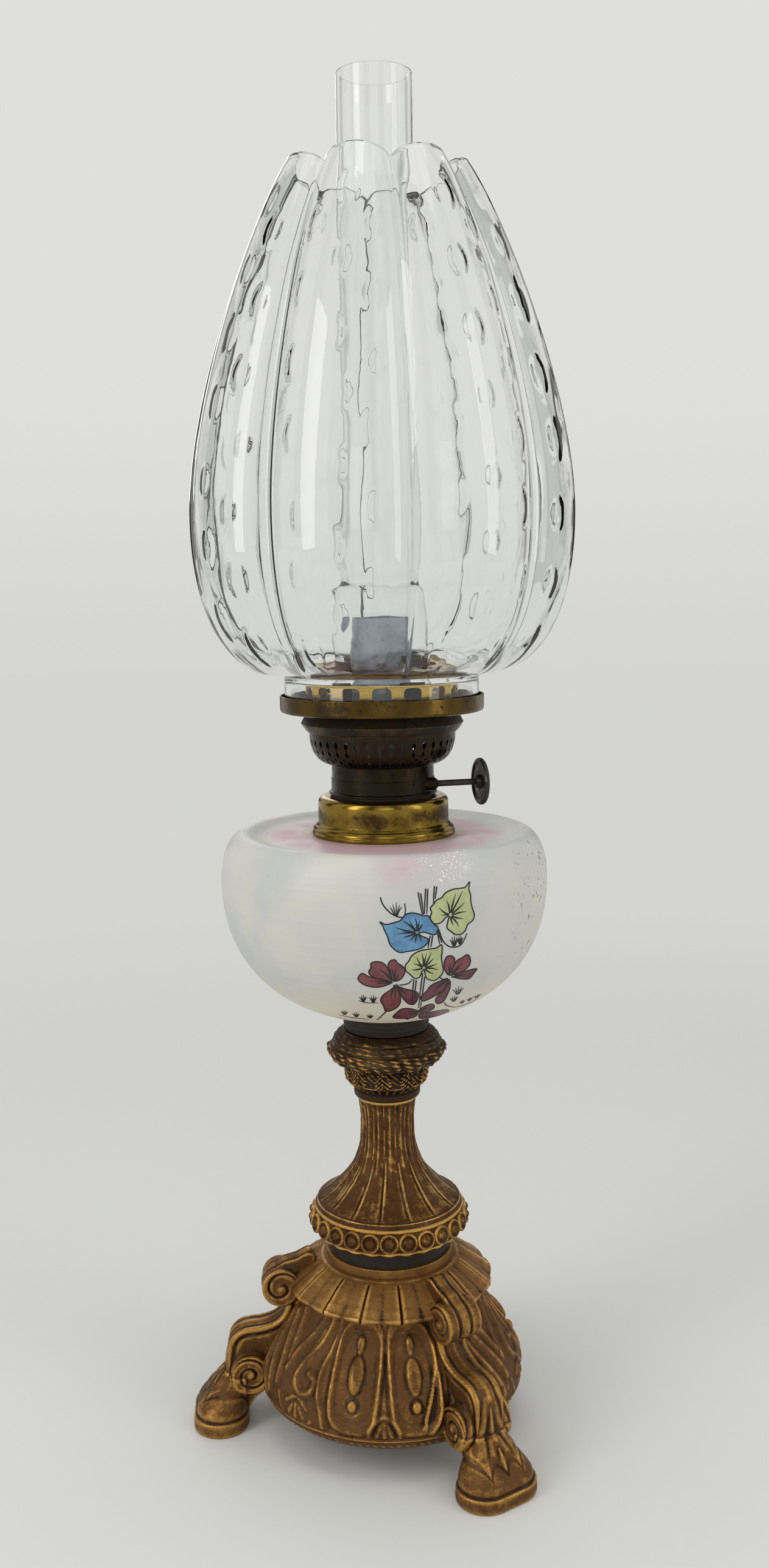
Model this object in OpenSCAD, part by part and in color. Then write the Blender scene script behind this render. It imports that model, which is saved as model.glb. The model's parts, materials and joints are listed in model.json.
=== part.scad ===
/* [Base] */
// Radius of the circle on which the three hoofs stand
foot_circle_r = 92; // [88:0.5:98]
// Length of a hoof along the radius
hoof_len = 30; // [26:1:34]
// Width of a hoof across the radius
hoof_w = 44; // [36:1:48]
// Height of a hoof up to the ankle
hoof_h = 16; // [13:0.5:19]
// Height of the plain band round the bottom of a hoof
hoof_band = 8; // [5:0.5:10]
// Width of a scroll leg
leg_w = 17; // [13:0.5:20]
// Radius of the leg's outer edge at the knee
knee_r = 88; // [84:0.5:91]
// Height of the knee above the rim of the apron
knee_h = 37; // [33:0.5:41]
// Radius of the upper scroll of a leg
scroll_r = 10.5; // [9:0.5:12]
// Radius of the lower scroll of a leg
volute_r = 7.5; // [6:0.5:9]
// Height of the apron's rim above the floor
apron_gap = 17; // [14:0.5:21]
// Height of the apron from its rim to the cap
apron_h = 60; // [56:0.5:66]
// Radius of the apron under the cap
apron_top_r = 47; // [44:0.5:50]
// Radius of the apron at its belly
apron_belly_r = 70.5; // [68:0.5:73]
// Radius of the apron at its rim
apron_rim_r = 64; // [61:0.5:67]
// Wall of the base casting
base_wall = 3.5; // [3:0.1:4.5]
// Radius of the petalled cap
cap_r = 54; // [51:0.5:57]
// Height of the cap
cap_h = 15; // [13:0.5:18]
// Radius of the seat ring on the cap
seat_r = 33.5; // [32.5:0.1:35]
// Height of the seat ring
seat_h = 3.9; // [3:0.1:5]

/* [Stem] */
// Radius of the plain dark collar under the column
base_collar_r = 31.9; // [30.5:0.1:32.4]
// Height of the plain dark collar
base_collar_h = 8; // [6:0.5:11]
// Wall of the plain dark collar
base_collar_wall = 4; // [3:0.5:5]
// Height of the column
column_h = 75.6; // [70:0.2:84]
// Radius of the ring of coins at the foot of the column
coin_ring_r = 42; // [40:0.5:44]
// Height of the ring of coins
coin_ring_h = 19.5; // [18:0.5:23]
// Number of coins round the column
coin_count = 20; // [16:1:22]
// Diameter of a coin
coin_d = 12.4; // [10:0.2:12.6]
// Radius of the column at its neck
column_neck_r = 14.4; // [13.4:0.1:15.4]
// Wall of the column
column_wall = 2.5; // [2:0.1:3.5]
// Height of the capital with its cup
capital_h = 36.7; // [34:0.1:40]
// Radius of the leaf band of the capital
capital_r = 22; // [20.5:0.1:23.5]
// Radius of the cup flange
cup_r = 30.9; // [29:0.1:33]
// Diameter of the tie rod
rod_d = 6; // [5:0.5:7]
// Running clearance round the tie rod
rod_clear = 0.15; // [0.1:0.05:0.3]
// Width of the tie nut across its flats
nut_w = 13; // [11.5:0.5:15]

/* [Font] */
// Radius of the socket under the font
socket_r = 22.3; // [21:0.1:24]
// Height of the socket
socket_h = 9.4; // [8.6:0.1:12]
// Wall of the socket
socket_wall = 1.5; // [1:0.1:2]
// Largest radius of the glass font
font_r = 84; // [80:0.5:88]
// Height of the glass font from the socket to its rim
font_h = 95.9; // [90:0.5:102]
// Height at which the font is widest
font_belly_h = 71; // [66:0.5:75]
// Depth of the dish in the top of the font
dish_depth = 1.8; // [1:0.1:3]
// Wall of the glass font
font_wall = 4; // [3:0.2:5]
// Radius of the neck of the font
font_neck_r = 30; // [29.2:0.1:30.5]
// Height of the neck above the dish
font_neck_h = 16; // [14:0.2:17.5]
// Radius of the font collar
collar_r = 33.5; // [32.6:0.1:35]
// Height of the font collar
collar_h = 19.9; // [18.6:0.1:22]
// Radius of the bead at the foot of the collar
collar_bead_r = 36.8; // [36:0.1:38.5]

/* [Burner] */
// Thickness of the sheet brass of the burner
sheet_t = 0.8; // [0.6:0.05:1]
// Thickness of the gasket under the burner
gasket_t = 1.2; // [0.8:0.1:2]
// Radius of the burner's screw
screw_r = 24.7; // [24:0.1:25]
// Length of the burner's screw
screw_len = 7.3; // [6:0.1:9]
// Clearance between screw and collar
screw_clear = 0.3; // [0.25:0.05:0.4]
// Radius of the lower tube of the burner
tube_r = 26.5; // [26.2:0.1:27]
// Height of the lower tube
tube_h = 15.2; // [14:0.1:18]
// Radius of the foot flange
flange_r = 27.7; // [27.4:0.1:29]
// Radius of the air bowl
basket_r = 37.4; // [35.5:0.1:38.5]
// Height of the air bowl
basket_h = 16.5; // [15:0.1:19]
// Number of slots in the air bowl
slot_count = 40; // [24:1:44]
// Width of a slot
slot_w = 1.6; // [1:0.1:2]
// Radius of the sharp edge of the deck
deck_r = 41.5; // [40.5:0.1:43]
// Height of the deck
deck_h = 10.5; // [9:0.1:12]

/* [Wick raiser] */
// Radius of the outer wick tube
wick_tube_r = 15; // [14.6:0.1:15.4]
// Wall of the wick tubes
wick_tube_wall = 0.6; // [0.4:0.05:0.8]
// Height of the wick tube above the foot flange
wick_tube_h = 88.2; // [80:0.2:92]
// Thickness of the wick
wick_t = 2.75; // [2.2:0.05:3]
// Clearance between the wick's end and the font's floor
wick_end_gap = 17.4; // [4:0.2:40]
// Clearance between the wick and the tubes
wick_clear = 0.35; // [0.3:0.05:0.45]
// Depth of the wick's top below the top of the tube
wick_drop = 2; // [0.5:0.5:6]
// Width of the air duct of the inner tube
duct_w = 8; // [6:0.5:9]
// Height of the air duct
duct_h = 12; // [9:0.5:13]
// Direction in which the shaft points
shaft_angle = 15; // [5:1:25]
// Height of the shaft above the foot flange
shaft_up = 5.6; // [5.2:0.1:6.4]
// Radius of the shaft
shaft_r = 1.6; // [1.3:0.05:1.8]
// Running clearance of the shaft
shaft_clear = 0.07; // [0.04:0.01:0.1]
// Radius of a cog wheel
cog_r = 4; // [3.7:0.05:4.2]
// Thickness of a cog wheel
cog_t = 1.4; // [1:0.1:2]
// Distance between the two cog wheels
cog_gap = 4.6; // [3.6:0.1:5]
// Distance of the thumbwheel along the shaft
wheel_out = 45.4; // [40:0.2:52]
// Radius of the thumbwheel
wheel_r = 12; // [10:0.2:13.5]
// Thickness of the thumbwheel's rim
wheel_t = 2.4; // [2:0.1:3.4]

/* [Glass and holders] */
// Radius of the chimney's lower cylinder
chimney_r = 25.3; // [24.6:0.1:25.8]
// Radius of the chimney's upper tube
chimney_top_r = 18.55; // [17.5:0.05:20]
// Radius of the chimney's waist
waist_r = 19.4; // [18.8:0.1:20.5]
// Height of the waist above the chimney's foot
waist_h = 65.2; // [60:0.2:70]
// Height of the chimney
chimney_h = 306.8; // [280:0.2:330]
// Wall of the chimney
chimney_wall = 1.8; // [1.4:0.1:2.2]
// Clearance between the chimney and its prongs
prong_clear = 0.3; // [0.25:0.05:0.4]
// Height of the prongs
prong_h = 22; // [16:0.5:26]
// Radius of the shade ring
ring_r = 52; // [51.5:0.1:54]
// Height of the rim of the shade ring
ring_h = 8.4; // [6.5:0.1:10]
// Radius of the perforated crown
crown_r = 39; // [37:0.2:41]
// Height of the crown
crown_h = 15.2; // [14.4:0.1:17]
// Number of openings in the crown
crown_holes = 16; // [12:1:18]
// Width of an opening in the crown
crown_hole_w = 9.3; // [7:0.1:10]
// Height of an opening in the crown
crown_hole_h = 6.7; // [5:0.1:7.2]
// Radius of the neck of the shade
shade_neck_r = 49.5; // [48:0.1:50.4]
// Height of the neck of the shade
shade_neck_h = 17.8; // [16.4:0.2:22]
// Largest radius of the shade
shade_r = 97.7; // [92:0.1:104]
// Height of the shade's widest part above its neck
shade_belly_h = 78; // [70:0.5:90]
// Height of the shade
shade_h = 262.7; // [240:0.1:280]
// Radius of the shade at its top
shade_top_r = 46.5; // [44:0.1:50]
// Wall of the shade
shade_wall = 3; // [2.4:0.1:3.6]
// Number of lobes round the shade
lobes = 8; // [6:1:10]
// Depth of the creases between the lobes, as a share of the radius
crease = 0.115; // [0.06:0.005:0.13]
// Height of the scallops at the top
scallop_h = 7.8; // [4:0.1:11]

/* [Hidden] */
$fn = 96;
leg_angle = -56;
shade_turn = -80;
hull_fn = 32;
nut_t = 5;
washer_t = 1.4;
web_t = 4;
rod_hole_r = rod_d / 2 + rod_clear;
head_r = rod_d;
head_t = 3;
socket_floor = 2.2;
peg_r = 14.5;
peg_h = 3.2;

// Heights of the seats, from the floor upwards
z_rim = apron_gap;
z_belly = z_rim + 12;
z_cap = z_rim + apron_h;
z_seat = z_cap + cap_h;
z_collar = z_seat + seat_h;
z_column = z_collar + base_collar_h;
z_capital = z_column + column_h;
z_socket = z_capital + capital_h;
z_font = z_socket + socket_h;
z_dish = z_font + font_h - dish_depth;
z_gasket = z_dish + collar_h;
z_burner = z_gasket + gasket_t;
z_basket = z_burner + tube_h;
z_deck = z_basket + basket_h;
z_deck_top = z_deck + deck_h;
z_holder = z_deck_top + sheet_t;
z_shaft = z_burner + shaft_up;
z_tube_top = z_burner + wick_tube_h;

// Radii that follow from a fit
collar_in_r = screw_r + screw_clear;
font_bore_r = collar_in_r + sheet_t + 0.4;
wick_r = wick_tube_r - wick_tube_wall - wick_clear;
wick_in_r = wick_r - wick_t;
z_wick = z_font + font_wall + wick_end_gap;
wick_len = z_tube_top - wick_drop - z_wick;
draught_r = wick_in_r - wick_clear;
cog_clear = 0.15;
shaft_off = wick_r + cog_r + cog_clear;
gland_r = 2 * shaft_r;
prong_r = chimney_r + prong_clear;
holder_r = prong_r + sheet_t + 0.8;
holder_in_r = wick_tube_r + 3.5;
pan_hole_r = holder_r + 0.4;
crown_hole_r = prong_r + sheet_t + 2.2;
screw_floor = 2.8;
duct_end_r = screw_r - 4;
slit_w = duct_w + 1.5;
sleeve_h = screw_len + 4;
floor_t = 1.2;
duct_low = 4;

// Points of a cubic curve from a to d, without the first one
function bez(a, b, c, d, n) = [for (i = [1:n]) let (t = i / n, s = 1 - t)
    a * s * s * s + b * 3 * s * s * t + c * 3 * s * t * t + d * t * t * t];
function reversed(v) = [for (i = [len(v) - 1:-1:0]) v[i]];

// Outline of the apron from the cap down to the rim, moved in by k
function apron_curve(k) = concat(
    [[apron_top_r - k, z_cap]],
    bez([apron_top_r - k, z_cap], [apron_top_r - k, z_cap - 15],
        [apron_belly_r - k, z_belly + 19], [apron_belly_r - k, z_belly], 7),
    bez([apron_belly_r - k, z_belly], [apron_belly_r - k, z_belly - 6],
        [apron_rim_r + 4 - k, z_rim + 1], [apron_rim_r - k, z_rim], 4));

// Side view of a leg: x is the distance from the axis, y the height
ankle_in = foot_circle_r - hoof_len / 2;
ankle_out = ankle_in + 11.5;
knee_z = z_rim + knee_h;
leg_neck_r = apron_top_r + 8.5;
scroll_at = [apron_top_r + 11.5, z_cap];
volute_at = [apron_belly_r + 1, z_rim + 13];
leg_outline = concat(
    [[ankle_in, hoof_h - 6], [ankle_out, hoof_h - 6]],
    bez([ankle_out, hoof_h - 6], [ankle_out + 1, hoof_h + 6],
        [knee_r + 0.5, knee_z - 14], [knee_r - 1.5, knee_z - 9], 4),
    [[knee_r - 8, knee_z]],
    bez([knee_r - 8, knee_z], [knee_r - 22, knee_z + 0.5],
        [leg_neck_r + 2, knee_z + 3], [leg_neck_r, knee_z + 12], 5),
    [[leg_neck_r, z_cap]],
    [for (p = apron_curve(base_wall / 2)) if (p[1] > z_rim + 0.5) p],
    [[ankle_in - 4, z_rim - 1]]);
leaf_outline = [[scroll_at[0] + 2, z_cap + scroll_r - 0.5], [apron_top_r + 2, z_cap + 14],
    [apron_top_r - 5, z_cap + 17], [apron_top_r - 8, z_cap + 10], [apron_top_r + 4, z_cap + 2]];

module upright_plate(outline, width) {
    rotate([90, 0, 0]) translate([0, 0, -width / 2]) linear_extrude(width) polygon(outline);
}

// Disc at the end of a scroll, as seen from the side of the leg
module volute(at, radius, width) {
    translate([at[0], width / 2, at[1]]) rotate([90, 0, 0]) cylinder(r = radius, h = width);
}

module leg() {
    upright_plate(leg_outline, leg_w);
    upright_plate(leaf_outline, leg_w - 6);
    volute(scroll_at, scroll_r, leg_w + 3);
    volute(volute_at, volute_r, leg_w + 7);
    hull() {
        for (side = [-1, 1]) {
            translate([foot_circle_r, side * (hoof_w - hoof_len) / 2, 0])
                cylinder(r = hoof_len / 2, h = hoof_band, $fn = hull_fn);
            translate([ankle_in + 10.5, side * (leg_w - 8) / 2, 0])
                cylinder(r = 10, h = hoof_h, $fn = hull_fn);
        }
    }
}

module tripod_base() {
    color("#6b5130") difference() {
        union() {
            rotate_extrude() polygon(concat(apron_curve(0), reversed(apron_curve(base_wall))));
            rotate_extrude() polygon(concat(
                [[rod_hole_r, z_seat - web_t], [rod_hole_r, z_seat], [seat_r - 4, z_seat],
                    [seat_r - 4, z_collar], [seat_r, z_collar], [seat_r, z_seat]],
                bez([seat_r, z_seat], [seat_r + 7, z_seat - 1],
                    [cap_r - 4, z_cap + 6], [cap_r, z_cap + 2], 5),
                [[cap_r - 0.5, z_cap], [apron_top_r - base_wall, z_cap], [seat_r - 4, z_seat - web_t]]));
            for (i = [0:2]) rotate([0, 0, leg_angle + 120 * i]) leg();
        }
    }
}

module base_collar() {
    color("#2b2723") rotate_extrude() translate([base_collar_r - base_collar_wall, z_collar])
        square([base_collar_wall, base_collar_h]);
}

// Outline of the column above its foot, moved in by k
function column_curve(k) = let (foot = coin_ring_r - 8, h = coin_ring_h, n = column_neck_r) concat(
    bez([foot - k, 0], [foot + 6 - k, 1], [coin_ring_r + 0.4 - k, h * 0.35], [coin_ring_r - k, h * 0.6], 4),
    bez([coin_ring_r - k, h * 0.6], [coin_ring_r - 0.6 - k, h * 0.75],
        [foot + 4.5 - k, h * 0.9], [foot + 2.4 - k, h], 4),
    bez([foot + 2.4 - k, h], [foot + 2.2 - k, h + 0.3], [n + 2 - k, h + 13.9], [n + 6.9 - k, h + 14.2], 6),
    bez([n + 6.9 - k, h + 14.2], [n + 5.6 - k, h + 15], [n - k, h + 31], [n - k, column_h - 11], 6),
    [[n + 1.2 - k, column_h]]);

module fluted_column() {
    color("#7a5c2c") translate([0, 0, z_column]) {
        rotate_extrude() polygon(concat(
            [[base_collar_r - base_collar_wall, 0], [coin_ring_r - 8, 0]],
            column_curve(0),
            [[rod_hole_r, column_h], [rod_hole_r, column_h - 3], [column_neck_r - column_wall, column_h - 3]],
            [for (p = reversed(column_curve(column_wall))) if (p[1] > 3 && p[1] < column_h - 3) p],
            [[coin_ring_r - 8 - column_wall, 3], [base_collar_r - base_collar_wall, 3]]));
        for (i = [0:coin_count - 1]) rotate([0, 0, i * 360 / coin_count])
            translate([coin_ring_r - 2.2, 0, coin_ring_h * 0.5]) rotate([0, 90, 0])
                cylinder(d = coin_d, h = 2.8);
    }
}

module capital_cup() {
    n = column_neck_r + 1.1;
    h = capital_h;
    color("#5d4526") translate([0, 0, z_capital]) rotate_extrude() polygon(concat(
        [[n - column_wall, 0], [n, 0], [n + 1.6, 0.4], [n + 2, 1.6], [n + 2, 3.8], [n + 1, 4.8]],
        bez([n + 1, 4.8], [n + 1.4, 6.6], [capital_r - 2.6, 6.8], [capital_r - 1.5, 8.2], 3),
        bez([capital_r - 1.5, 8.2], [capital_r - 0.3, 11],
            [capital_r + 0.3, 15], [capital_r - 0.6, h - 18.5], 4),
        bez([capital_r + 1, h - 18.3], [cup_r - 2.5, h - 17],
            [cup_r + 2.2, h - 11.5], [cup_r - 1.2, h - 8.3], 6),
        bez([cup_r - 2.6, h - 6.4], [cup_r - 3, h - 3.2], [cup_r - 6, h - 1.6], [socket_r, h], 4),
        [[rod_hole_r, h], [rod_hole_r, h - 3.5], [socket_r - 4, h - 3.5], [capital_r - 5, 12]]));
}

module tie_rod() {
    top = z_socket + socket_floor;
    low = z_seat - web_t - washer_t - nut_t - 3;
    color("#8b8b86") union() {
        translate([0, 0, low]) cylinder(d = rod_d, h = top - low);
        translate([0, 0, top]) cylinder(r = head_r, h = head_t);
    }
}

module tie_washer() {
    color("#8b8b86") translate([0, 0, z_seat - web_t - washer_t]) difference() {
        cylinder(r = nut_w * 0.8, h = washer_t);
        translate([0, 0, -1]) cylinder(r = rod_hole_r, h = washer_t + 2);
    }
}

module tie_nut() {
    color("#8b8b86") translate([0, 0, z_seat - web_t - washer_t - nut_t]) difference() {
        cylinder(r = nut_w / sqrt(3), h = nut_t, $fn = 6);
        translate([0, 0, -1]) cylinder(r = rod_d / 2, h = nut_t + 2);
    }
}

module font_socket() {
    color("#33302b") translate([0, 0, z_socket]) rotate_extrude() polygon([
        [rod_hole_r, 0], [socket_r - 0.6, 0], [socket_r, socket_h * 0.35],
        [socket_r - 0.3, socket_h], [socket_r - socket_wall, socket_h],
        [socket_r - socket_wall, socket_floor], [rod_hole_r, socket_floor]]);
}

module socket_plaster() {
    color("#cfc8b8") translate([0, 0, z_socket]) rotate_extrude() polygon([
        [head_r, socket_floor], [socket_r - socket_wall, socket_floor], [socket_r - socket_wall, socket_h],
        [peg_r, socket_h], [peg_r, socket_h - peg_h], [0, socket_h - peg_h], [0, socket_floor + head_t],
        [head_r, socket_floor + head_t]]);
}

// Side of the font from the socket to the dish, moved in by k
function font_curve(k) = let (
    r = font_r - k, b = font_belly_h, top = font_h - k, low = top - dish_depth - 0.7) concat(
    bez([socket_r - 0.3 - k, k], [socket_r + 20 - k, 2.7 + k], [r, b * 0.26 + k / 2], [r, b], 12),
    bez([r, b], [r, b + 20 - k], [r - 7.5, top], [r - 11.5, top], 6),
    bez([r - 11.5, top], [r - 15.5, top], [r - 18, low], [r - 24, low], 3));

module glass_font() {
    dish = font_h - dish_depth;
    color("#e9e6df", 0.9) translate([0, 0, z_font]) rotate_extrude() polygon(concat(
        [[0, -peg_h], [peg_r, -peg_h], [peg_r, 0], [socket_r - 0.3, 0]],
        font_curve(0),
        [[collar_bead_r + 5, dish], [font_neck_r, dish], [font_neck_r, dish + font_neck_h],
            [font_bore_r, dish + font_neck_h], [font_bore_r, dish - font_wall]],
        reversed(font_curve(font_wall)),
        [[peg_r, font_wall], [0, font_wall]]));
}

// Inner side of the collar, which the plaster fills
collar_inside = concat(
    [[collar_bead_r - 1.4, 0], [collar_bead_r - 0.8, 1.2], [collar_bead_r - 0.8, 3], [collar_r + 0.7, 4.8],
        [collar_r - sheet_t, 6.3], [collar_r - sheet_t, collar_h - 3.4]],
    bez([collar_r - sheet_t, collar_h - 3.4], [collar_r - sheet_t, collar_h - 1.6],
        [collar_r - 2, collar_h - sheet_t], [collar_r - 3.2, collar_h - sheet_t], 3),
    [[collar_in_r + sheet_t, collar_h - sheet_t]]);

module collar_plaster() {
    color("#cfc8b8") translate([0, 0, z_dish]) rotate_extrude() polygon(concat(
        collar_inside,
        [[collar_in_r + sheet_t, font_neck_h], [font_neck_r, font_neck_h], [font_neck_r, 0]]));
}

module font_collar() {
    color("#b08d2e") translate([0, 0, z_dish]) rotate_extrude() polygon(concat(
        reversed(collar_inside),
        [[collar_bead_r - 0.6, 0], [collar_bead_r, 1.2], [collar_bead_r, 3.2], [collar_r + 1.7, 4.8],
            [collar_r + 1.5, 5.4], [collar_r, 6.6], [collar_r, collar_h - 3.4]],
        bez([collar_r, collar_h - 3.4], [collar_r, collar_h - 1.2],
            [collar_r - 1.6, collar_h], [collar_r - 3.2, collar_h], 3),
        [[collar_in_r, collar_h], [collar_in_r, collar_h - sleeve_h],
            [collar_in_r + sheet_t, collar_h - sleeve_h]]));
}

module burner_gasket() {
    color("#3a2f25") rotate_extrude() translate([collar_in_r, z_gasket])
        square([flange_r - 0.9 - collar_in_r, gasket_t]);
}

// Puts its children on the wick shaft, with z along it from the point nearest the lamp's axis
module on_shaft() {
    rotate([0, 0, shaft_angle]) translate([0, -shaft_off, z_shaft]) rotate([0, 90, 0]) children();
}

module burner_base() {
    in_r = tube_r - sheet_t;
    screw_in_r = screw_r - 1;
    color("#4e4530") difference() {
        translate([0, 0, z_burner]) rotate_extrude() polygon([
            [screw_r, -screw_len], [screw_r, 0], [flange_r, 0], [flange_r, 0.9], [flange_r - 0.5, 1.4],
            [tube_r, 1.4], [tube_r, tube_h], [in_r, tube_h], [in_r, 1], [screw_in_r, 0.3],
            [screw_in_r, -screw_floor], [wick_tube_r, -screw_floor], [wick_tube_r, -screw_floor - floor_t],
            [screw_in_r, -screw_floor - floor_t], [screw_in_r, -screw_len]]);
        on_shaft() cylinder(r = gland_r, h = tube_r);
    }
}

module shaft_gland() {
    reach = sqrt(tube_r * tube_r - shaft_off * shaft_off);
    color("#4e4530") on_shaft() translate([0, 0, reach - 4.2]) difference() {
        cylinder(r = gland_r, h = 8.4);
        translate([0, 0, -1]) cylinder(r = shaft_r + shaft_clear, h = 10.4);
    }
}

module shaft_bracket() {
    up = shaft_up + screw_floor;
    color("#4e4530") difference() {
        rotate([0, 0, shaft_angle]) translate([-9.6, -shaft_off - 2.6, z_burner - screw_floor])
            cube([1.2, 5.2, up + 2.6]);
        on_shaft() translate([0, 0, -12]) cylinder(r = shaft_r + shaft_clear, h = 5);
    }
}

// Side of the air bowl, moved in by k
function basket_curve(k) = bez([tube_r + 0.5 - k, 0.2], [tube_r + 6.5 - k, 1],
    [basket_r - k, basket_h * 0.36], [basket_r - k, basket_h], 7);

module burner_basket() {
    slot_h = basket_h * 0.42;
    color("#43382a") translate([0, 0, z_basket]) difference() {
        rotate_extrude() polygon(concat([[tube_r - sheet_t, 0], [tube_r, 0]], basket_curve(0),
            reversed(basket_curve(sheet_t)), [[tube_r - sheet_t, 0.4]]));
        for (i = [0:slot_count - 1]) rotate([0, 0, (i + 0.5) * 360 / slot_count])
            translate([basket_r - 5, -slot_w / 2, basket_h - 3 - slot_h]) cube([8, slot_w, slot_h]);
    }
}

module burner_deck() {
    b = basket_r;
    t = sheet_t;
    color("#4a4231") translate([0, 0, z_deck]) rotate_extrude() polygon([
        [b - t, 0], [b + 0.2, 0], [b + 1.5, 0.9], [deck_r, deck_h * 0.44], [deck_r - 3, deck_h],
        [holder_r - 3.2, deck_h], [holder_r - 3.2, deck_h - t], [deck_r - 3.5, deck_h - t],
        [deck_r - 1.1, deck_h * 0.45], [b + 0.9, t + 0.9], [b - t, t]]);
}

module chimney_holder() {
    prong_angle = 34;
    color("#6a5a36") translate([0, 0, z_deck_top]) union() {
        difference() {
            rotate_extrude() translate([holder_in_r, 0]) square([holder_r - holder_in_r, sheet_t]);
            for (i = [0:23]) rotate([0, 0, i * 15]) translate([chimney_r - chimney_wall - 2.6, 0, -1])
                cylinder(r = 1.2, h = sheet_t + 2);
        }
        for (i = [0:3]) rotate([0, 0, 20 + i * 90]) rotate_extrude(angle = prong_angle)
            polygon([[prong_r, 0], [prong_r, prong_h - 3], [prong_r + 1.2, prong_h],
                [prong_r + 1.2 + sheet_t / 2, prong_h - 0.3], [prong_r + sheet_t / 2, prong_h - 3.2],
                [prong_r + sheet_t / 2, 0]]);
    }
}

// Block that runs from the lamp's axis to the back, away from the wick shaft
module duct_block(width, length, height) {
    rotate([0, 0, shaft_angle]) translate([-width / 2, 0, z_burner + duct_low]) cube([width, length, height]);
}

module wick_tube() {
    low = screw_floor + floor_t;
    color("#77808a") difference() {
        translate([0, 0, z_burner - low]) rotate_extrude() translate([wick_tube_r - wick_tube_wall, 0])
            square([wick_tube_wall, wick_tube_h + low]);
        on_shaft() translate([-cog_r, -cog_r - 1, -cog_gap / 2 - cog_t])
            cube([2 * cog_r, cog_r + 6, cog_gap + 2 * cog_t]);
        duct_block(duct_w, wick_tube_r + 2, duct_h);
    }
}

module draught_tube() {
    low = z_burner + 3;
    w = wick_tube_wall;
    color("#77808a") difference() {
        union() {
            translate([0, 0, low]) cylinder(r = draught_r, h = z_tube_top - low);
            duct_block(duct_w, duct_end_r, duct_h);
        }
        translate([0, 0, low + 1]) cylinder(r = draught_r - w, h = z_tube_top - low);
        translate([0, 0, w]) duct_block(duct_w - 2 * w, duct_end_r + 1, duct_h - 2 * w);
    }
}

module wick() {
    color("#d8d2c0") translate([0, 0, z_wick]) difference() {
        cylinder(r = wick_r, h = wick_len);
        translate([0, 0, -1]) cylinder(r = wick_in_r, h = wick_len + 2);
        rotate([0, 0, shaft_angle]) translate([-slit_w / 2, 0, -1]) cube([slit_w, wick_r + 1, wick_len + 2]);
    }
}

module wick_shaft() {
    color("#3b342b") on_shaft() translate([0, 0, -12]) cylinder(r = shaft_r, h = wheel_out + wheel_t + 12.6);
}

module cog_wheels() {
    teeth = 12;
    rim = cog_r - 0.9;
    color("#7c6a3c") on_shaft() for (side = [-1, 1])
        translate([0, 0, side * cog_gap / 2 - cog_t / 2]) difference() {
            linear_extrude(cog_t) polygon([for (i = [0:2 * teeth - 1]) let (r = i % 2 == 0 ? cog_r : rim)
                [r * cos(180 * i / teeth), r * sin(180 * i / teeth)]]);
            translate([0, 0, -1]) cylinder(r = shaft_r, h = cog_t + 2);
        }
}

module thumbwheel() {
    r = wheel_r;
    t = wheel_t;
    color("#3b342b") on_shaft() translate([0, 0, wheel_out]) rotate_extrude() polygon([
        [shaft_r, -1.6], [shaft_r + 1.4, -1.6], [shaft_r + 2, 0.7], [r - 2.6, 0.7], [r - 1.8, 0],
        [r - 0.6, 0], [r, 0.6], [r, t - 0.6], [r - 0.6, t], [r - 1.8, t], [r - 2.6, t - 0.6],
        [shaft_r + 2, t - 0.6], [shaft_r, t - 0.4]]);
}

module shade_ring() {
    t = sheet_t;
    color("#8a7136") translate([0, 0, z_deck_top]) rotate_extrude() polygon([
        [pan_hole_r, 0], [ring_r - 1.4, 0], [ring_r - 0.4, 0.4], [ring_r, 1.4], [ring_r, ring_h],
        [ring_r - t, ring_h], [ring_r - t, 1.6], [ring_r - 1.6, t], [pan_hole_r, t]]);
}

// Flat outline of an opening with round corners, centred on the origin
module rounded_opening(w, h, r) {
    square([w - 2 * r, h], center = true);
    square([w, h - 2 * r], center = true);
    for (x = [-1, 1], y = [-1, 1]) translate([x * (w / 2 - r), y * (h / 2 - r)]) circle(r, $fn = 24);
}

module air_crown() {
    t = sheet_t;
    r = crown_r;
    h = crown_h;
    color("#a98b3c") translate([0, 0, z_holder]) difference() {
        rotate_extrude() polygon([
            [r - t, 0], [r + 3, 0], [r + 3, t], [r, t], [r, h - 1.4], [r - 1.4, h], [crown_hole_r, h],
            [crown_hole_r, h - t], [r - 1.6, h - t], [r - t, h - 1.6]]);
        for (i = [0:crown_holes - 1]) rotate([0, 0, i * 360 / crown_holes])
            translate([r - 4, 0, h - 2.1 - crown_hole_h / 2]) rotate([90, 0, 90])
                linear_extrude(8) rounded_opening(crown_hole_w, crown_hole_h, 1.6);
    }
}

// Side of the shade from the neck to the top, moved in by k
function shade_side(k) = let (
    n = shade_neck_r - k, h = shade_neck_h + k, r = shade_r - k, belly = shade_neck_h + shade_belly_h) concat(
    [[n, 0], [n, h - 1.2], [n + 1.6, h]],
    bez([n + 1.6, h], [r, h], [r, belly - 10], [r, belly], 8),
    bez([r, belly], [r, belly + 57], [shade_top_r + 17 - k, shade_h - 25],
        [shade_top_r - k, shade_h], 11));
around = 8;

// A point of the shade: u runs from -1 to 1 across a lobe, creases and scallops fade in with the height
function shade_point(p, u, a) = let (
    fade = min(1, max(0, (p[1] - shade_neck_h) / 14)),
    r = p[0] * (1 - crease * fade * (u * u * 0.75 + pow(abs(u), 6) * 0.25)),
    rise = max(0, (p[1] - shade_h * 0.8) / (shade_h * 0.2)),
    dip = scallop_h * rise * (1 - sqrt(1 - u * u)))
    [r * cos(a), r * sin(a), p[1] - dip];

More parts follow.
